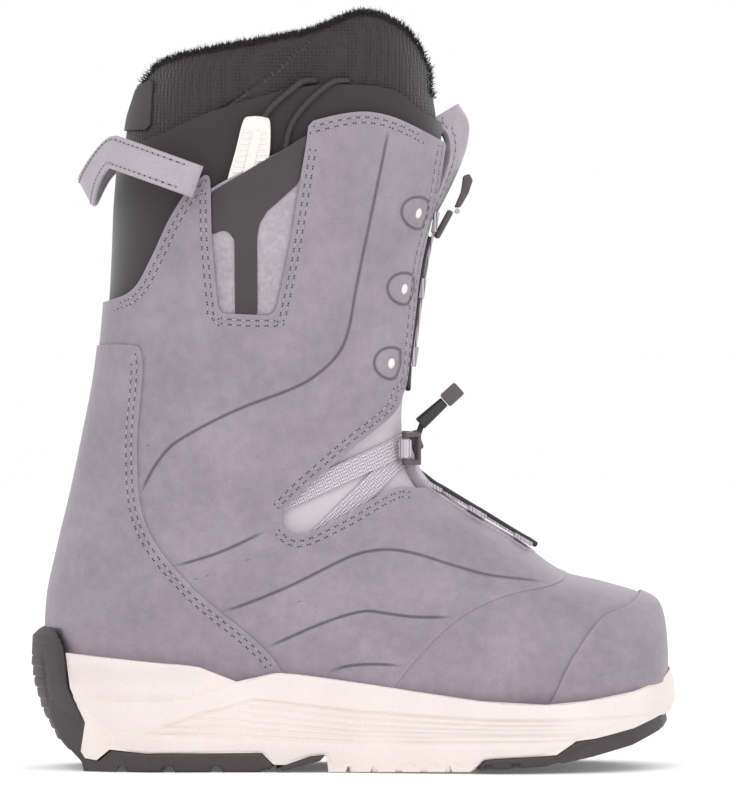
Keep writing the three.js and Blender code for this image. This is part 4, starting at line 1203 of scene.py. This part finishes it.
class BOOT_OT_ankle(bpy.types.Operator):
    """Soft lining in the ankle notch, the two straps, their rings, the instep pad and its lacing"""

    bl_idname = "boot.ankle"
    bl_label = "Ankle notch and instep lacing"

    def execute(self, context):
        m = MATERIALS
        # the lining runs 5 mm under the edges of the notch
        notch = np.vstack([offset_line(spline(NOTCH_UPPER), -5), offset_line(spline(NOTCH_LOWER), -5)])
        for name, sign in SIDES:
            lining = skin_piece(f"notch_fabric_{name}", notch, 4.0, 1.4, m["lining"], None,
                                (f"notch_lining_{name}",), sign, 0.4, lambda p: np.abs(p[:, 1]) - 14.5)
            flex(lining)
            skin_piece(f"upper_strap_{name}", band_outline((25.5, 148), (-38, 119.5), STRAP_WIDTH), 2.1, 1.3,
                       m["webbing"], "cuff", (f"ankle_strap_upper_{name}",), sign, 0.5, None)
            strap = skin_piece(f"lower_strap_{name}", band_outline((25.5, 146), (-24, 98), STRAP_WIDTH), 3.0,
                               1.2, m["webbing"], None, (f"ankle_strap_lower_{name}",), sign, 0.5, None)
            flex(strap)
            reworked(f"ankle_ring_{name}", f"ring_{name}", m["plastic"], "cuff", 0.8, None)
            bm = bmesh.new()
            bmesh.ops.create_cube(bm, size=1.0)
            bmesh.ops.scale(bm, verts=bm.verts, vec=(4.8 * MM, 5.2 * MM, 9.0 * MM))
            turn = Matrix.Rotation(-sign * 0.95, 3, "Z")
            bmesh.ops.rotate(bm, verts=bm.verts, cent=(0, 0, 0), matrix=turn)
            bmesh.ops.translate(bm, verts=bm.verts, vec=Vector((22.7, sign * 21.4, 145)) * MM)
            wrap = finish_object(bm, f"ring_wrap_{name}", m["webbing cube"], "cuff", ())
            round_edges(wrap, 1.4, 3, 30)
        pad = skin_piece("instep_pad", INSTEP_PAD, -0.4, 4.4, m["leather pale"], None, ("lower_tongue",), 0,
                         1.6, self.throat)
        flex(pad)
        gusset = skin_piece("front_gusset", FRONT_GUSSET, 4.6, 1.6, m["lining"], None, (), 0, 0.5,
                            lambda p: np.minimum(21 - np.abs(p[:, 1]), p[:, 0] - 5))
        flex(gusset)
        for name, _ in SIDES:
            guides = reworked(f"vamp_webbing_{name}", f"instep_guides_{name}", m["webbing cube"], "foot", 0.6,
                              None)
            move_mesh(guides, (-0.6, 0, -1.2))
        flex(cord_object("instep_lace", INSTEP_LACE, None, ("lower_lace",)))
        reworked("lower_lock_body", "ankle_lock", m["plastic"], "cuff", 1.1, None)
        cord_object("release_lace", RELEASE_LACE, "cuff", ())
        reworked("release_pull", "release_tube", m["black rubber"], "release_pull", 0.5, None)
        reworked("release_tip", "release_end", m["plastic"], "release_pull", 0.9, None)
        return {"FINISHED"}

    def throat(self, points):
        """Positive where the instep pad may show in the front opening."""
        y = np.abs(points[:, 1])
        return np.minimum(13.7 - y, throat_half(points) + 4 - y)


# ---------------------------------------------------------------------------
# collar and liner
COLLAR_UNDER = ((60, 262), (41, 268), (15, 280), (-36, 272), (-66, 252), (-90, 224), (-99, 204), (-125, 196))
LINER_SEAM = ((-64, 294), (-48, 305), (-34, 315), (-20, 328), (-16, 335))
LOOP_TAG = ((-106, 289), (-92.5, 288.5), (-91, 312), (-99, 308))
PILE_END = ((60, 262), (33, 266), (-20, 280), (-60, 276), (-100, 262), (-130, 255))
FOOTBED = ((-150, 56), (-110, 52), (-40, 50), (40, 42), (110, 46), (150, 50), (150, 0), (-150, 0))
FIBRE_HALF_WIDTH = 0.00019  # metres
FIBRE_PITCH = 0.085  # mm along the rim


def shaft_front(points, half, below=0.0):
    """Positive outside the front gap of the shaft."""
    return np.where((points[:, 0] > -20) & (points[:, 2] > below), np.abs(points[:, 1]) - half, 9.0)


class BOOT_OT_liner(bpy.types.Operator):
    """Stretch collar, padded liner with its pile rim and tag, liner tongue and footbed"""

    bl_idname = "boot.liner"
    bl_label = "Collar and liner"

    def execute(self, context):
        m = MATERIALS
        collar_top = spline(COLLAR_TOP)
        outline = np.vstack([collar_top, COLLAR_UNDER])
        bm = skin_bmesh(3.0)
        points = positions(bm)
        keep = np.minimum(signed_distance(points[:, [0, 2]], outline), shaft_front(points, 19.5))
        trim(bm, keep)
        side = side_view(bm)
        seams = [line_distance(side, offset_line(collar_top, gap)) for gap in (3.6, -3.6)]
        leather_attributes(bm, outline, seams)
        collar = finish_object(bm, "stretch_collar", m["neoprene"], "cuff", ("collar",))
        wall(collar, 2.6, 1.0, 3)

        rim = spline(LINER_RIM)
        outline = np.vstack([rim, [[170, 290], [170, 0], [-170, 0], [-170, 300]]])
        bm = skin_bmesh(6.3)
        points = positions(bm)
        front = np.where((points[:, 0] > -20) & (points[:, 2] > 112), np.abs(points[:, 1]) - 20, 9.0)
        trim(bm, np.minimum(signed_distance(points[:, [0, 2]], outline), front))
        points = positions(bm)
        side = points[:, [0, 2]]
        leather_attributes(bm, outline, [line_distance(side, spline(LINER_SEAM), 2.0)])
        puff = smoothstep(np.abs(signed_distance(side, outline)) / 12) * 1.2
        normals_out(bm, puff - 0.6)
        liner = finish_object(bm, "liner_shell", m["mesh"], None, ("liner_foot", "liner_cuff"))
        wall(liner, 6.6, 2.4, 3)
        flex(liner)

        bm = skin_bmesh(9.4)
        points = positions(bm)
        front = np.where(points[:, 0] > -5, 16.6 - np.abs(points[:, 1]), -9.0)
        low = points[:, 2] - 168
        trim(bm, np.minimum(np.minimum(signed_distance(points[:, [0, 2]], outline), front), low))
        leather_attributes(bm, outline)
        tongue = finish_object(bm, "liner_tongue_pad", m["mesh"], "liner_tongue", ("liner_tongue",))
        wall(tongue, 6.4, 2.2, 3)

        self.pile(rim)
        skin_piece("liner_loop_tag", LOOP_TAG, 4.4, 1.2, m["tag"], "cuff", ("liner_tag",), -1, 0.4, None)

        skin_piece("footbed_sheet", FOOTBED, 13.2, 3.0, m["footbed"], "foot", ("footbed",), 0, 1.0, None)
        hidden = {"lasting_board": "board", "heel_stiffener": "plastic", "heel_cushion": "rubber",
                  "tongue_stiffener": "plastic"}
        for node, key in hidden.items():
            mesh = bpy.data.objects[node].data
            mesh.materials.clear()
            mesh.materials.append(m[key])
        return {"FINISHED"}

    def pile(self, rim):
        """Short pile over the liner's rim and down its inside."""
        m = MATERIALS
        look = bpy.context.scene.boot_look
        shortest, longest = in_mm(look.pile_shortest), in_mm(look.pile_longest)
        outline = np.vstack([rim, PILE_END])
        bm = skin_bmesh(12.3)
        points = positions(bm)
        trim(bm, np.minimum(signed_distance(points[:, [0, 2]], outline), shaft_front(points, 20)))
        leather_attributes(bm, outline)
        backing = finish_object(bm, "pile_backing", m["pile"], "cuff", ("liner_pile",))
        wall(backing, 1.6, 0.6)

        rng = np.random.default_rng(7)
        verts, faces = [], []
        line = spline(LINER_RIM, 24)[24:-24]
        for sign in (-1, 1):
            places, _ = even_steps(line, FIBRE_PITCH)
            for x, z in places:
                if x > 41:
                    continue
                for depth, drop, rise in ((6.6, rng.uniform(0.2, 2.6), 0.5), (9.4, 0.4, 1.0),
                                          (12.4, rng.uniform(0.3, 4.0), 0.8)):
                    px, pz = x + rng.normal(0, 0.4), z - drop
                    hit = on_skin(px, pz, sign, depth)
                    if hit is None or abs(hit[0].y) < 0.0195:
                        continue
                    root, normal = np.array(hit[0]), np.array(hit[1])
                    out = 1.0 if depth < 8 else (-0.7 if depth > 12 else 0.1)
                    way = np.array((rng.normal(0, 0.45), rng.normal(0, 0.4), rise)) + normal * out * 0.75
                    way /= np.linalg.norm(way)
                    add_blade(verts, faces, root, way, rng.uniform(shortest, longest) * MM, rng)
        mesh = bpy.data.meshes.new("pile_fibres")
        mesh.from_pydata(verts, [], faces)
        obj = bpy.data.objects.new("pile_fibres", mesh)
        bpy.context.scene.collection.objects.link(obj)
        mesh.materials.append(m["pile"])
        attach(obj, "cuff")


def add_blade(verts, faces, root, way, length, rng):
    """One fibre: a narrow bent strip of two faces."""
    side = np.cross(way, rng.normal(0, 1, 3))
    side *= FIBRE_HALF_WIDTH / np.linalg.norm(side)
    bend = rng.normal(0, 0.25, 3) * length
    middle = root + way * length * 0.55
    tip = root + way * length + bend
    start = len(verts)
    verts.extend([root - side, root + side, middle + side * 0.8, middle - side * 0.8, tip])
    faces.extend([(start, start + 1, start + 2, start + 3), (start + 3, start + 2, start + 4)])


def normals_out(bm, amounts):
    """Moves the vertices along their normals by amounts in mm."""
    bm.normal_update()
    for v, amount in zip(bm.verts, amounts):
        v.co += v.normal * float(amount) * MM


# ---------------------------------------------------------------------------
# pull loop, pocket, handle and laces
PATCH = ((-64.5, 260), (-20.9, 285.9), (-25, 264.1), (-32.3, 257.7), (-39.1, 251.8), (-42.7, 245.9),
         (-43.6, 239.1), (-43.6, 204), (-53.6, 204), (-53.6, 239.1), (-56.4, 242.7), (-59.5, 243.2),
         (-64.5, 240.9))
HANDLE = ((-49.5, 292), (-53, 279), (-57.5, 263), (-60, 247), (-58.5, 241), (-50, 239.5), (-46, 243),
          (-41.5, 262), (-38, 276), (-37.5, 291), (-40, 293.6), (-46, 294))
# x, z and how far under the skin
HAND_LACES = (
    ((-47, 270, 1.2), (-46.5, 279, 1.4), (-43, 289, 1.5), (-37, 298, 1.5), (-29, 305, 1.7), (-23, 309.4, 2.8),
     (-17, 309.6, 5.5)),
    ((-31, 278, 1.2), (-29.5, 287, 1.4), (-26, 294, 1.5), (-20, 301, 1.5), (-13, 307, 1.8), (-8, 309.6, 3.0),
     (-2, 309.6, 5.5)),
)
# where the rear loop is sewn on and how far back it reaches, x and z
LOOP_ENDS = (-70, 264.5)
LOOP_BACK = (-121.5, 270)


class BOOT_OT_pulls(bpy.types.Operator):
    """Rear pull loop, the side pockets, the lace handles and the hand laces"""

    bl_idname = "boot.pulls"
    bl_label = "Pull loop, pockets and handles"

    def execute(self, context):
        m = MATERIALS
        self.loop()
        pouch = [(-66, 330), *POCKET, (-20, 330)]
        for name, sign in SIDES:
            skin_piece(f"pocket_fabric_{name}", grown(POCKET, 1.6), 1.4, 1.0, m["pocket"], "cuff",
                       (f"pocket_{name}",), sign, 0.3, None, bulge=(pouch, 2.4, 7))
            skin_piece(f"pocket_patch_{name}", PATCH, 0.8, 0.7, m["patch"], "cuff", (), sign, 0.3,
                       bulge=(pouch, 2.4, 7))
            self.handle(name, sign)
            for i, line in enumerate(HAND_LACES):
                points = []
                for x, z, depth in line:
                    place, normal = on_skin(x, z, sign)
                    points.append(((place - normal * depth * MM) / MM)[:])
                cord_object(f"pull_lace_{name}_{i + 1}", points, "cuff", (f"hand_lace_{name}_{i + 1}",))
        return {"FINISHED"}

    def loop(self):
        """The strap from one side round the back to the other, with a row of stitches at each edge."""
        path = []
        steps = 64
        for i in range(steps + 1):
            angle = math.pi * (i / steps - 0.5)
            reach = max(math.cos(angle), 0) ** 0.75
            x = LOOP_ENDS[0] + (LOOP_BACK[0] - LOOP_ENDS[0]) * reach
            z = LOOP_ENDS[1] + 14 * min(reach / 0.75, 1) - 17 * max((reach - 0.75) / 0.25, 0) ** 1.6
            y = 59.2 * math.copysign(abs(math.sin(angle)) ** 0.9, angle)
            path.append(Vector((x, y, z)) * MM)
        bm = bmesh.new()
        frames = path_frames(path, lambda t: (0.35 - 0.9 * math.sin(math.pi * t) ** 6, 0, 1))
        sweep(bm, path, strap_profile(15 * MM, 2.6 * MM), frames)
        bmesh.ops.recalc_face_normals(bm, faces=bm.faces)
        finish_object(bm, "rear_loop", MATERIALS["strap leather"], "pull_loop", ("pull_loop",))
        stitches = []
        for edge in (-5.4, 5.4):
            for i in range(2, steps - 1):
                for face in (-1, 1):
                    across, out = frames[i]
                    place = path[i] + across * edge * MM + out * face * 1.3 * MM
                    stitches.append((place, out * face, path[i + 1] - path[i - 1]))
        stitches_object("rear_loop_stitching", stitches, "pull_loop", 2.2, 0.36)

    def handle(self, name, sign):
        """The moulded handle in its pocket, turned to lie along the cuff's surface."""
        low, high = on_skin(-56, 240, sign)[0], on_skin(-43, 283, sign)[0]
        rise = math.atan2(abs(high.y) - abs(low.y), high.z - low.z)
        back, fore = on_skin(-57, 262, sign)[0], on_skin(-43, 262, sign)[0]
        turn = math.atan2(fore.y - back.y, fore.x - back.x)
        centre = Vector((-50 * MM, (fore.y + back.y) / 2 - sign * 0.0006, 262 * MM))
        bm = bmesh.new()
        outline = [Vector(((x + 50) * MM, 0, (z - 262) * MM)) for x, z in even_outline(HANDLE)]
        face = bm.faces.new([bm.verts.new(p) for p in outline])
        made = bmesh.ops.extrude_face_region(bm, geom=[face])
        bmesh.ops.translate(bm, verts=[g for g in made["geom"] if isinstance(g, bmesh.types.BMVert)],
                            vec=(0, sign * 2.2 * MM, 0))
        bmesh.ops.translate(bm, verts=bm.verts, vec=(0, -sign * 1.1 * MM, 0))
        for i in range(8):
            z = 269.5 + i * 2.55
            left = np.interp(z, (241, 247, 263, 279, 292), (-58.5, -60, -57.5, -53, -49.5)) + 1.0
            right = np.interp(z, (243, 262, 276, 291), (-46, -41.5, -38, -37.5)) - 1.0
            middle = (left + right) / 2
            for a, b in ((left, middle - 2.2), (middle + 2.2, right)):
                rib = bmesh.ops.create_cube(bm, size=1.0)
                bmesh.ops.scale(bm, verts=rib["verts"], vec=((b - a) * MM, 3.2 * MM, 1.4 * MM))
                place = (((a + b) / 2 + 50) * MM, 0, (z - 262) * MM)
                bmesh.ops.translate(bm, verts=rib["verts"], vec=place)
        spine = bmesh.ops.create_cube(bm, size=1.0)
        bmesh.ops.scale(bm, verts=spine["verts"], vec=(4.2 * MM, 3.6 * MM, 20 * MM))
        bmesh.ops.rotate(bm, verts=spine["verts"], cent=(0, 0, 0), matrix=Matrix.Rotation(0.235, 3, "Y"))
        bmesh.ops.translate(bm, verts=spine["verts"], vec=(4.6 * MM, 0, 16 * MM))
        bmesh.ops.rotate(bm, verts=bm.verts, cent=(0, 0, 0), matrix=Matrix.Rotation(-sign * rise, 3, "X"))
        bmesh.ops.rotate(bm, verts=bm.verts, cent=(0, 0, 0), matrix=Matrix.Rotation(turn, 3, "Z"))
        bmesh.ops.translate(bm, verts=bm.verts, vec=centre)
        bmesh.ops.recalc_face_normals(bm, faces=bm.faces)
        handle = finish_object(bm, f"pull_handle_{name}", MATERIALS["pale plastic"], f"lace_handle_{name}",
                               (f"lace_handle_{name}",))
        round_edges(handle, 0.45, 3, 40)


def grown(outline, distance):
    """A closed outline moved outwards."""
    p = np.array(outline, float)
    before, after = np.roll(p, 1, 0), np.roll(p, -1, 0)
    t = after - before
    n = np.stack([t[:, 1], -t[:, 0]], 1) / np.linalg.norm(t, axis=1)[:, None]
    centre = p.mean(0)
    n *= np.sign(np.sum(n * (p - centre), axis=1))[:, None]
    return p + n * distance


def even_outline(outline):
    """A smooth closed line through an outline's points."""
    closed = [outline[-1], *outline, outline[0], outline[1]]
    return catmull(np.array(closed, float), np.linspace(0, len(outline), 73)[:-1])


def stitches_object(name, stitches, body, length=2.7, radius=0.42):
    """Many stitches as one piece: copies of one small thread with its two holes, drawn as dark discs of
    painted shade.
    """
    threads = bmesh.new()
    bmesh.ops.create_uvsphere(threads, u_segments=8, v_segments=5, radius=1.0)
    bmesh.ops.scale(threads, verts=threads.verts, vec=(length / 2 * MM, radius * MM, radius * 0.8 * MM))
    count = len(threads.faces)
    # painted shade: each needle hole is a dark disc laid just over the leather
    for end in (-1, 1):
        bmesh.ops.create_circle(threads, cap_ends=True, segments=7, radius=0.38 * MM,
                                matrix=Matrix.Translation((end * (length / 2 + 0.22) * MM, 0, 0.00001)))
    threads.verts.index_update()
    local = np.array([v.co[:] for v in threads.verts])
    cells = [[v.index for v in f.verts] for f in threads.faces]
    marks = [0 if i < count else 1 for i in range(len(cells))]
    threads.free()
    verts, faces, index = [], [], []
    for place, normal, along in stitches:
        along = (along - normal * along.dot(normal)).normalized()
        frame_matrix = np.array((along, normal.cross(along), normal))
        base = len(verts) * len(local)
        verts.append(local @ frame_matrix + np.array(place + normal * 0.00008))
        faces.extend([[base + k for k in cell] for cell in cells])
        index.extend(marks)
    mesh = bpy.data.meshes.new(name)
    mesh.from_pydata(np.vstack(verts), [], faces)
    mesh.polygons.foreach_set("material_index", index)
    mesh.polygons.foreach_set("use_smooth", [mark == 0 for mark in index])
    mesh.materials.append(MATERIALS["thread"])
    mesh.materials.append(MATERIALS["hole"])
    obj = bpy.data.objects.new(name, mesh)
    bpy.context.scene.collection.objects.link(obj)
    if body:
        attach(obj, body)
    return obj


# ---------------------------------------------------------------------------
# tongue: x, z, half width and how far its sides fall back
TONGUE = ((20.6, 165, 13, 0.8), (22.7, 186, 15, 0.9), (25.2, 208, 15.5, 1), (27.6, 229, 16, 1.1),
          (31.6, 243, 16, 1.6), (37.4, 252, 16.5, 3), (42.3, 261, 17, 4), (48.6, 275, 17.5, 6),
          (51.6, 286, 18.4, 10), (51.4, 294, 19, 16), (47, 301.5, 17.5, 15))
TONGUE_COLUMNS = 31
SHIN_LACE = ((34, 7, 241), (32.4, 7, 236.5), (29.4, -7, 221), (28.4, -7, 213), (25.4, 7, 190), (24.6, 7, 182),
             (24, -6, 172))


class BOOT_OT_tongue(bpy.types.Operator):
    """Outer tongue with its rolled edge, the upper lace, its lock and the guides beside it"""

    bl_idname = "boot.tongue"
    bl_label = "Tongue and upper lacing"

    def execute(self, context):
        m = MATERIALS
        table = np.array(TONGUE)
        table = np.vstack([2 * table[0] - table[1], table, 2 * table[-1] - table[-2]])
        rows = catmull(table, np.linspace(0, len(TONGUE) - 1, 70))
        slope = np.gradient(rows[:, :2], axis=0)
        slope /= np.linalg.norm(slope, axis=1)[:, None]
        bm = bmesh.new()
        bmesh.ops.create_grid(bm, x_segments=TONGUE_COLUMNS - 1, y_segments=len(rows) - 1, size=1.0)
        for v in bm.verts:
            s = v.co.x
            i = round((v.co.y + 1) / 2 * (len(rows) - 1))
            x, z, half, fall = rows[i]
            inward = fall * s * s
            v.co = ((x - slope[i, 1] * inward) * MM, s * half * MM, (z + slope[i, 0] * inward) * MM)
        bmesh.ops.recalc_face_normals(bm, faces=bm.faces)
        bm.normal_update()
        if sum(f.normal.x for f in bm.faces) < 0:
            bmesh.ops.reverse_faces(bm, faces=bm.faces)
        set_attribute(bm, "edge_gap", [9.0] * len(bm.verts))
        set_attribute(bm, "line_gap", [9.0] * len(bm.verts))
        set_attribute(bm, "line_mask", [0.0] * len(bm.verts))
        tongue = finish_object(bm, "outer_tongue", m["tongue leather"], "tongue", ("tongue",))
        wall(tongue, 2.6, 1.2, 4)
        stitches = []
        tree = BVHTree.FromPolygons(*tongue_faces(tongue))
        for side in (-1, 1):
            line = []
            for (x, z, half, fall), (tx, tz) in zip(rows[2:-1], slope[2:-1]):
                s = side * (half - 3.2) / half
                inward = fall * s * s
                line.append(((x - tz * inward) * MM, s * half * MM, (z + tx * inward) * MM))
            places, tangents = even_steps(line, 3.6 * MM)
            for place, tangent in zip(places, tangents):
                hit = tree.find_nearest(Vector(place))
                stitches.append((hit[0], hit[1], Vector(tangent)))
        stitches_object("outer_tongue_stitching", stitches, "tongue", 2.4, 0.36)

        reworked("upper_lock_body", "lace_lock", m["plastic"], "tongue", 1.1, None)
        reworked("upper_lock_lever", "lace_lock_lever", m["plastic"], "upper_lock_lever", 0.7, None)
        reworked("upper_lock_pin", "lace_lock_pin", m["steel"], "tongue", 0.3, None)
        cord_object("shin_lace", SHIN_LACE, "tongue", ("upper_lace",))
        for name, _ in SIDES:
            guides = reworked(f"eyestay_webbing_{name}", f"shin_guides_{name}", m["webbing cube"], "cuff",
                              0.5, None)
            move_mesh(guides, (-2.0, 0, 0.5))
        return {"FINISHED"}


def tongue_faces(obj):
    """Points and faces of a piece, as a search tree takes them."""
    return [v.co.copy() for v in obj.data.vertices], [list(p.vertices) for p in obj.data.polygons]


# ---------------------------------------------------------------------------
# stage
class BOOT_OT_stage(bpy.types.Operator):
    """Pale floor, soft studio light and the camera"""

    bl_idname = "boot.stage"
    bl_label = "Stage"

    def execute(self, context):
        look = context.scene.boot_stage
        bm = bmesh.new()
        bmesh.ops.create_grid(bm, x_segments=2, y_segments=2, size=6.0)
        mat, n, shader = material("pale floor", 0.9)
        shader.inputs["Base Color"].default_value = (0.96, 0.96, 0.96, 1)
        shader.inputs["Emission Color"].default_value = (1, 1, 1, 1)
        shader.inputs["Emission Strength"].default_value = 0.1
        floor = finish_object(bm, "floor", mat)

        world = bpy.data.worlds.new("studio")
        world.use_nodes = True
        background = world.node_tree.nodes["Background"]
        background.inputs["Color"].default_value = (1, 1, 1, 1)
        background.inputs["Strength"].default_value = look.sky
        context.scene.world = world

        self.lamp("key", (-0.5, -1.6, 1.5), 1.2, look.key)
        self.lamp("fill", (1.4, -1.3, 0.9), 1.4, look.fill)
        self.lamp("rim", (0.6, 1.5, 1.3), 1.2, look.rim)

        camera = bpy.data.objects.new("camera", bpy.data.cameras.new("camera"))
        context.scene.collection.objects.link(camera)
        reach = 3.2
        view_height = look.view_height * MM
        camera.data.lens = camera.data.sensor_width * reach / view_height
        camera.data.clip_end = 50
        aim = Vector(look.aim) * MM
        turn, lift = math.radians(look.turn), math.radians(look.lift)
        away = Vector((math.sin(turn) * math.cos(lift), -math.cos(turn) * math.cos(lift), math.sin(lift)))
        camera.location = aim + away * reach
        camera.rotation_euler = (-away).to_track_quat("-Z", "Y").to_euler()
        context.scene.camera = camera
        context.scene.view_settings.view_transform = "Standard"
        return {"FINISHED"}

    def lamp(self, name, place, size, power):
        light = bpy.data.lights.new(name, "AREA")
        light.shape = "DISK"
        light.size = size
        light.energy = power
        obj = bpy.data.objects.new(name, light)
        obj.location = place
        obj.rotation_euler = (Vector((0, 0, 0.15)) - Vector(place)).to_track_quat("-Z", "Y").to_euler()
        bpy.context.scene.collection.objects.link(obj)


def tone_setting(name, default):
    """A colour setting."""
    return FloatVectorProperty(name=name, description=f"{name} tone", subtype="COLOR", default=default,
                               min=0, max=1)


def length_setting(name, description, default):
    """A length setting, in metres."""
    return FloatProperty(name=name, description=description, default=default, min=0.0001, precision=4,
                         unit="LENGTH")


class BootLook(bpy.types.PropertyGroup):
    leather_dark: tone_setting("Leather, dark", (0.235, 0.200, 0.238))
    leather_light: tone_setting("Leather, light", (0.315, 0.272, 0.318))
    foam_dark: tone_setting("Foam, dark", (0.72, 0.63, 0.60))
    foam_light: tone_setting("Foam, light", (0.82, 0.73, 0.70))
    rubber_dark: tone_setting("Rubber, dark", (0.032, 0.025, 0.027))
    rubber_light: tone_setting("Rubber, light", (0.06, 0.048, 0.05))
    leather: length_setting("Leather", "Thickness of the leather of the two sides", 0.0018)
    lace: length_setting("Lace", "Diameter of the laces", 0.0027)
    stitch_pitch: length_setting("Stitch pitch", "From one stitch of the upper to the next", 0.0041)
    pile_shortest: length_setting("Pile, shortest", "Length of the shortest fibres at the rim", 0.0013)
    pile_longest: length_setting("Pile, longest", "Length of the longest fibres at the rim", 0.003)


class BootStage(bpy.types.PropertyGroup):
    sky: FloatProperty(name="Sky", description="Strength of the even light", default=1.0, min=0)
    key: FloatProperty(name="Key", description="Power of the main lamp", default=9.0, min=0, unit="POWER")
    fill: FloatProperty(name="Fill", description="Power of the front lamp", default=5.0, min=0, unit="POWER")
    rim: FloatProperty(name="Rim", description="Power of the back lamp", default=6.0, min=0, unit="POWER")
    view_height: FloatProperty(name="View height", description="Height that the camera takes in, in mm",
                               default=363.6, min=1)
    aim: FloatVectorProperty(name="Aim", description="Point the camera looks at, in mm",
                             default=(5.7, 0.0, 166.8))
    turn: FloatProperty(name="Turn", description="Degrees the camera stands round the boot", default=0.0)
    lift: FloatProperty(name="Lift", description="Degrees the camera looks down", default=0.5)


class BOOT_PT_panel(bpy.types.Panel):
    """Lists the boot's pieces"""

    bl_idname = "BOOT_PT_panel"
    bl_label = "Snowboard boot"
    bl_space_type = "VIEW_3D"
    bl_region_type = "UI"
    bl_category = "Boot"

    def draw(self, context):
        for operator in PIECES:
            self.layout.operator(operator.bl_idname)
        for settings in (context.scene.boot_look, context.scene.boot_stage):
            for key in settings.__annotations__:
                self.layout.prop(settings, key)


PIECES = (BOOT_OT_stage, BOOT_OT_upper, BOOT_OT_sole, BOOT_OT_stitching, BOOT_OT_ankle, BOOT_OT_liner,
          BOOT_OT_pulls, BOOT_OT_tongue)
CLASSES = (BootLook, BootStage, *PIECES, BOOT_PT_panel)


def register():
    for cls in CLASSES:
        bpy.utils.register_class(cls)
    bpy.types.Scene.boot_look = PointerProperty(type=BootLook)
    bpy.types.Scene.boot_stage = PointerProperty(type=BootStage)


def unregister():
    del bpy.types.Scene.boot_stage
    del bpy.types.Scene.boot_look
    for cls in reversed(CLASSES):
        bpy.utils.unregister_class(cls)


def main():
    register()
    make_materials(bpy.context.scene.boot_look)
    bpy.ops.boot.stage()
    bpy.ops.boot.upper()
    bpy.ops.boot.sole()
    bpy.ops.boot.stitching()
    bpy.ops.boot.ankle()
    bpy.ops.boot.liner()
    bpy.ops.boot.pulls()
    bpy.ops.boot.tongue()


if __name__ == "__main__":
    main()
